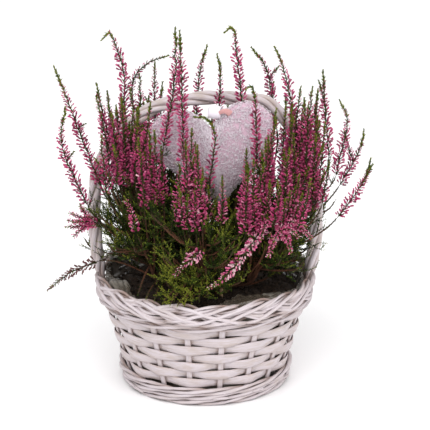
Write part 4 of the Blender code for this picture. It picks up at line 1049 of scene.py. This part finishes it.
def stalkParts(path, rng, tone, bare=0.15, density=1.0):
    # the stalk with leafy twigs on all sides, longest in its middle
    along = np.concatenate([[0], np.cumsum(np.linalg.norm(np.diff(path, axis=0), axis=1))])
    end = along[-1]
    parts = [stemPart(path, 1.15, 0.75, (0.95, 0.3), 4), leavesOn(path, along, rng, tone - 0.1, 1.6, 1.1, 0.25 * end)]
    pitch = plantShape["twigPitch"] / density
    root, direction, out, at = ranked(path, along, pitch, bare * end, end - 2, rng, (0.4, 1.1))
    for base, way, place in zip(root, direction, at):
        share = place / end
        length = rng.uniform(*plantShape["twigLength"]) * (0.5 + 0.8 * math.sin(math.pi * min(1, 0.15 + share)))
        drawn = tone + 0.3 * max(0.0, share - 0.5) + rng.uniform(-0.12, 0.14)
        reach = base + way * length * np.array([[0.5], [1.0]])
        if clearOfHeart(reach, 4.0) and clearOfHandle(reach, 8.0) and insideReach(reach):
            parts += twigParts(base, way, length, rng, drawn)
    return parts


def skirtParts(line, rng, count):
    # leafy shoots low on a woody stem, outwards over the soil and the rim and then upwards
    parts = []
    low = line[(line[:, 2] > 103) & (line[:, 2] < 165)]
    for _ in range(count):
        start = low[rng.integers(len(low))]
        away = math.atan2(start[1], start[0]) + rng.normal(0, 0.75)
        reach = rng.uniform(26, 52)
        lift = rng.uniform(0.1, 0.75)
        end = start + reach * np.array([math.cos(away), math.sin(away), lift])
        bend = start + 0.5 * reach * np.array([math.cos(away), math.sin(away), lift * 0.6])
        edge = np.hypot(*end[:2])
        if edge > 97 and end[2] < 121:
            end[2] = 121 + rng.uniform(0, 5)
        if not (insideReach([bend, end]) and clearOfHandle([bend, end], 9) and clearOfHeart([bend, end], 4.0)):
            continue
        shoot, _ = smoothPath([start, bend, end, end + reach * 0.2 * np.array([math.cos(away), math.sin(away), 1.2])], 4.0)
        parts += stalkParts(shoot, rng, rng.uniform(0.3, 0.62), 0.12, 1.15)
    return parts


# tall flowering shoots at the back: the branch that each belongs to, and its route up from its lowest bells
uprights = (
    (3, ((22, 74, 196), (24, 80, 236), (23, 84, 266))),
    (3, ((42, 70, 192), (47, 76, 226), (48, 79, 254))),
    (2, ((88, 36, 190), (97, 41, 224), (99, 43, 250))),
    (4, ((-20, 80, 194), (-23, 87, 228), (-21, 90, 258))),
    (4, ((-62, 66, 190), (-68, 73, 220), (-70, 76, 246))),
)

# more flowering stems than the solids hold: box of feet, box of tips, how many, tint of the bells
fillers = (
    ((-98, -48), (-58, -22), (208, 230), (240, 292), 18, 0.36),
    ((-92, -60), (-48, -24), (212, 236), (264, 306), 12, 0.36),
    ((-98, -50), (14, 60), (200, 228), (232, 300), 12, 0.34),
    ((-54, -50), (58, 62), (240, 244), (309, 312), 1, 0.45),
    ((-63, -60), (56, 60), (236, 240), (298, 304), 1, 0.45),
    ((-58, -34), (-68, -58), (198, 214), (240, 284), 6, 0.36),
    ((-30, 18), (-86, -62), (180, 198), (206, 250), 15, 0.6),
    ((-36, 6), (-82, -62), (190, 208), (240, 286), 6, 0.45),
    ((44, 92), (-88, -60), (174, 198), (208, 262), 19, 0.5),
    ((30, 56), (-86, -63), (176, 192), (222, 262), 9, 0.5),
    ((50, 70), (-84, -64), (200, 222), (268, 300), 5, 0.4),
    ((66, 98), (-46, -22), (208, 236), (268, 316), 14, 0.38),
    ((80, 116), (-50, -12), (186, 210), (222, 282), 14, 0.42),
    ((60, 118), (14, 60), (190, 222), (232, 300), 12, 0.34),
    ((-54, 64), (56, 84), (188, 208), (222, 262), 11, 0.42),
)
# woody stems with few leaves that show low in the middle
woodyStems = ((-30, -96, 160), (-25, -99, 150), (-7, -96, 163), (-40, -90, 160), (34, -92, 168), (58, -84, 170))
# leafy shoots that stand before the heart and its stick
beforeHeart = (
    (22, -60, 200), (30, -62, 192), (8, -62, 204), (-6, -64, 212), (-24, -60, 222), (-38, -58, 210), (40, -60, 186),
    (14, -64, 184), (24, -60, 182), (-50, -58, 216), (-14, -62, 194), (34, -58, 206),
)
# dark shoots that close the view between the flowers, low behind the heart: their low tint paints the shade inside the
# plant
darkShoots = ((-56, 6, 214), (-46, 14, 210), (-38, 4, 204), (-52, 26, 226), (-42, 34, 220), (-60, -14, 204), (-34, 20, 216),
              (-48, -12, 196), (64, 8, 210), (54, 20, 218))
leafyShoots = 42
skirtShoots = 12
# leaves that spill over the front of the rim: end of each shoot, and how yellow its leaves are
spilling = (
    ((-64, -98, 122), 0.45), ((-56, -104, 120), 0.55), ((-48, -106, 119), 0.6), ((-40, -111, 118), 0.75),
    ((-33, -113, 117), 0.85), ((-26, -114, 116), 1.0), ((-19, -114, 116), 0.95), ((-12, -112, 118), 0.85),
    ((-5, -110, 120), 0.6), ((4, -106, 122), 0.5), ((-46, -98, 134), 0.6), ((-28, -100, 140), 0.7),
    ((-12, -101, 132), 0.7), ((2, -98, 142), 0.6), ((20, -98, 128), 0.45), ((12, -92, 130), 0.35), ((22, -84, 132), 0.3),
)


def plantParts():
    # every branch's parts, and every spray's, with stalks, twigs and filling stems given to their branch
    branches = [[] for _ in branchLines]
    flowers = []
    for k, (line, (x, y)) in enumerate(zip(branchLines, branchPlaces())):
        rng = np.random.default_rng(200 + k)
        branches[k].append(stemPart(line, 2.3, 0.9, (1.0, 0.6), 7))
        branches[k] += stalkParts(line[line[:, 2] > 106], rng, 0.32, 0.05, 1.3)[1:]
        branches[k] += skirtParts(line, rng, skirtShoots)
    rng = np.random.default_rng(8)
    for end, yellow in spilling:
        end = np.array(end, float)
        index, stalk = stalkTo(end, unit(np.array([0.15 * np.sign(end[0] + 25), -1.0, -0.3])), rng, 0 if end[0] > -45 else 6)
        branches[index] += stalkParts(stalk, rng, yellow - 0.1, 0.3, 1.4)
    for end in beforeHeart:
        end = np.array(end, float)
        index, stalk = stalkTo(end, np.array([0.0, 0.0, 1.0]), rng)
        branches[index] += stalkParts(stalk, rng, rng.uniform(0.45, 0.75), 0.3, 1.3)
    for end in darkShoots:
        index, stalk = stalkTo(np.array(end, float), np.array([0.0, 0.0, 1.0]), rng)
        branches[index] += stalkParts(stalk, rng, 0.3, 0.35, 1.6)
    for end in woodyStems:
        index, stalk = stalkTo(np.array(end, float), np.array([0.0, -0.2, 1.0]), rng)
        branches[index].append(stemPart(stalk, 1.1, 0.6, (0.8, 0.6), 5))
    for number, (kind, *routes) in enumerate(sprays):
        rng = np.random.default_rng(300 + number)
        main = np.array(routes[0], float)
        heading = unit(main[1] - main[0])
        index, stalk = stalkTo(main[0], heading, rng)
        branches[index] += stalkParts(stalk, rng, 0.36)
        look = {"green": 18.0, "tone": 0.45, "full": 1.0, **sprayLooks.get(number + 1, {})}
        pieces = []
        for k, route in enumerate(tuple(routes) + headSpikes.get(number + 1, ())):
            pieces += spikeParts(route, kind, rng, look["green"] * (1 if k == 0 else 0.6), look["tone"], look["full"])
        flowers.append(pieces)
    for number, (index, route) in enumerate(uprights):
        rng = np.random.default_rng(400 + number)
        route = np.array(route, float)
        _, stalk = stalkTo(route[0], unit(route[1] - route[0]), rng, index)
        branches[index] += stalkParts(stalk, rng, 0.36) + spikeParts(route, "f", rng, 12.0, 0.42)
    rng = np.random.default_rng(7)
    for xs, ys, feet, tips, count, tone in fillers:
        for _ in range(count):
            x, y = rng.uniform(*xs), rng.uniform(*ys)
            foot = np.array([x, y, rng.uniform(*feet)])
            tip = np.array([x * rng.uniform(1.0, 1.14), y * rng.uniform(1.0, 1.14), rng.uniform(*tips)])
            if not (clearOfHeart(foot, 3.0) and clearOfHeart(tip, 3.0) and tip[2] - foot[2] > 22):
                continue
            bow = (foot + tip) / 2 + rng.uniform(-3, 3, 3)
            index, stalk = stalkTo(foot, unit(tip - foot), rng)
            branches[index] += stalkParts(stalk, rng, 0.34, 0.45, 0.4)
            branches[index] += spikeParts([foot, bow, tip], "f", rng, rng.uniform(6, 14), tone, 0.85, sides=3)
    for _ in range(leafyShoots):
        angle = rng.uniform(0, math.tau)
        r = rng.uniform(30, 100)
        foot = np.array([r * math.cos(angle), r * math.sin(angle), rng.uniform(168, 206) - 0.35 * max(0.0, r - 70)])
        if not clearOfHeart(foot, 2.0):
            continue
        index, stalk = stalkTo(foot, unit(np.array([0.3 * math.cos(angle), 0.3 * math.sin(angle), 1.0])), rng)
        branches[index] += stalkParts(stalk, rng, 0.5, 0.3, 0.8)
    return branches, flowers


branchPieces, sprayPieces = plantParts()
for k, parts in enumerate(branchPieces):
    piece = makePiece(f"leafy_branch_{k + 1}", joined(parts), plantFinishes, [f"branch_{k + 1:02d}"], False)
    print("branch", k + 1, "faces", len(piece.data.polygons))
for k, parts in enumerate(sprayPieces):
    makePiece(f"flower_spike_{k + 1}", joined(parts), plantFinishes, [f"spray_{k + 1:02d}"], False)
print("plant made")


# Floor, light and camera

stageShape = {
    "floorSize": 12.0, "floorColour": (0.96, 0.955, 0.96), "sky": 0.62,
    "lights": (("key", (-0.5, -2.0, 2.5), 2.8, 80.0), ("fill", (2.2, -1.6, 1.6), 2.2, 26.0), ("back", (0.3, 2.4, 2.4), 1.8, 26.0)),
    "target": (0.010, 0.0, 0.171), "distance": 1.8, "elevation": 18.0, "lens": 150.7,
}


def makeStage():
    # a wide pale floor, a white surround and three soft lamps that look at the target
    s = stageShape
    material, tree, shader = newMaterial("white sweep", Roughness=0.9)
    place = addNode(tree, "TexCoord")
    grain = addNode(tree, "TexNoise", Scale=3.0, Detail=2.0)
    tree.links.new(place.outputs["Object"], grain.inputs["Vector"])
    tone = mixColours(tree, grain.outputs["Fac"], s["floorColour"], tuple(0.99 * c for c in s["floorColour"]))
    tree.links.new(tone, shader.inputs["Base Color"])
    half = s["floorSize"] / 2
    mesh = bpy.data.meshes.new("floor")
    mesh.from_pydata([(-half, -half, 0), (half, -half, 0), (half, half, 0), (-half, half, 0)], [], [(0, 1, 2, 3)])
    mesh.materials.append(material)
    floor = bpy.data.objects.new("floor", mesh)
    bpy.context.scene.collection.objects.link(floor)
    world = bpy.data.worlds.new("studio")
    bpy.context.scene.world = world
    world.use_nodes = True
    tree = world.node_tree
    sky = tree.nodes["Background"]
    sky.inputs["Color"].default_value = (1.0, 1.0, 1.0, 1.0)
    sky.inputs["Strength"].default_value = s["sky"]
    seen = addNode(tree, "Background", Color=(1.0, 1.0, 1.0, 1.0), Strength=1.0)
    ray = addNode(tree, "LightPath")
    mix = addNode(tree, "MixShader")
    tree.links.new(ray.outputs["Is Camera Ray"], mix.inputs[0])
    tree.links.new(sky.outputs[0], mix.inputs[1])
    tree.links.new(seen.outputs[0], mix.inputs[2])
    tree.links.new(mix.outputs[0], tree.nodes["World Output"].inputs["Surface"])
    for name, place, size, power in s["lights"]:
        data = bpy.data.lights.new(name, "AREA")
        data.energy, data.size = power, size
        lamp = bpy.data.objects.new(name, data)
        bpy.context.scene.collection.objects.link(lamp)
        lamp.location = place
        lamp.rotation_euler = (Vector(s["target"]) - lamp.location).to_track_quat("-Z", "Y").to_euler()


def makeCamera():
    # on a sphere round the target, at the elevation that the floor is seen from
    s = stageShape
    data = bpy.data.cameras.new("camera")
    data.lens, data.sensor_width, data.clip_end = s["lens"], 36.0, 50.0
    camera = bpy.data.objects.new("camera", data)
    bpy.context.scene.collection.objects.link(camera)
    rise = math.radians(s["elevation"])
    camera.location = Vector(s["target"]) + s["distance"] * Vector((0, -math.cos(rise), math.sin(rise)))
    camera.rotation_euler = (Vector(s["target"]) - camera.location).to_track_quat("-Z", "Y").to_euler()
    bpy.context.scene.camera = camera


makeStage()
makeCamera()
bpy.context.scene.view_settings.view_transform = "Standard"
print("light and camera set")
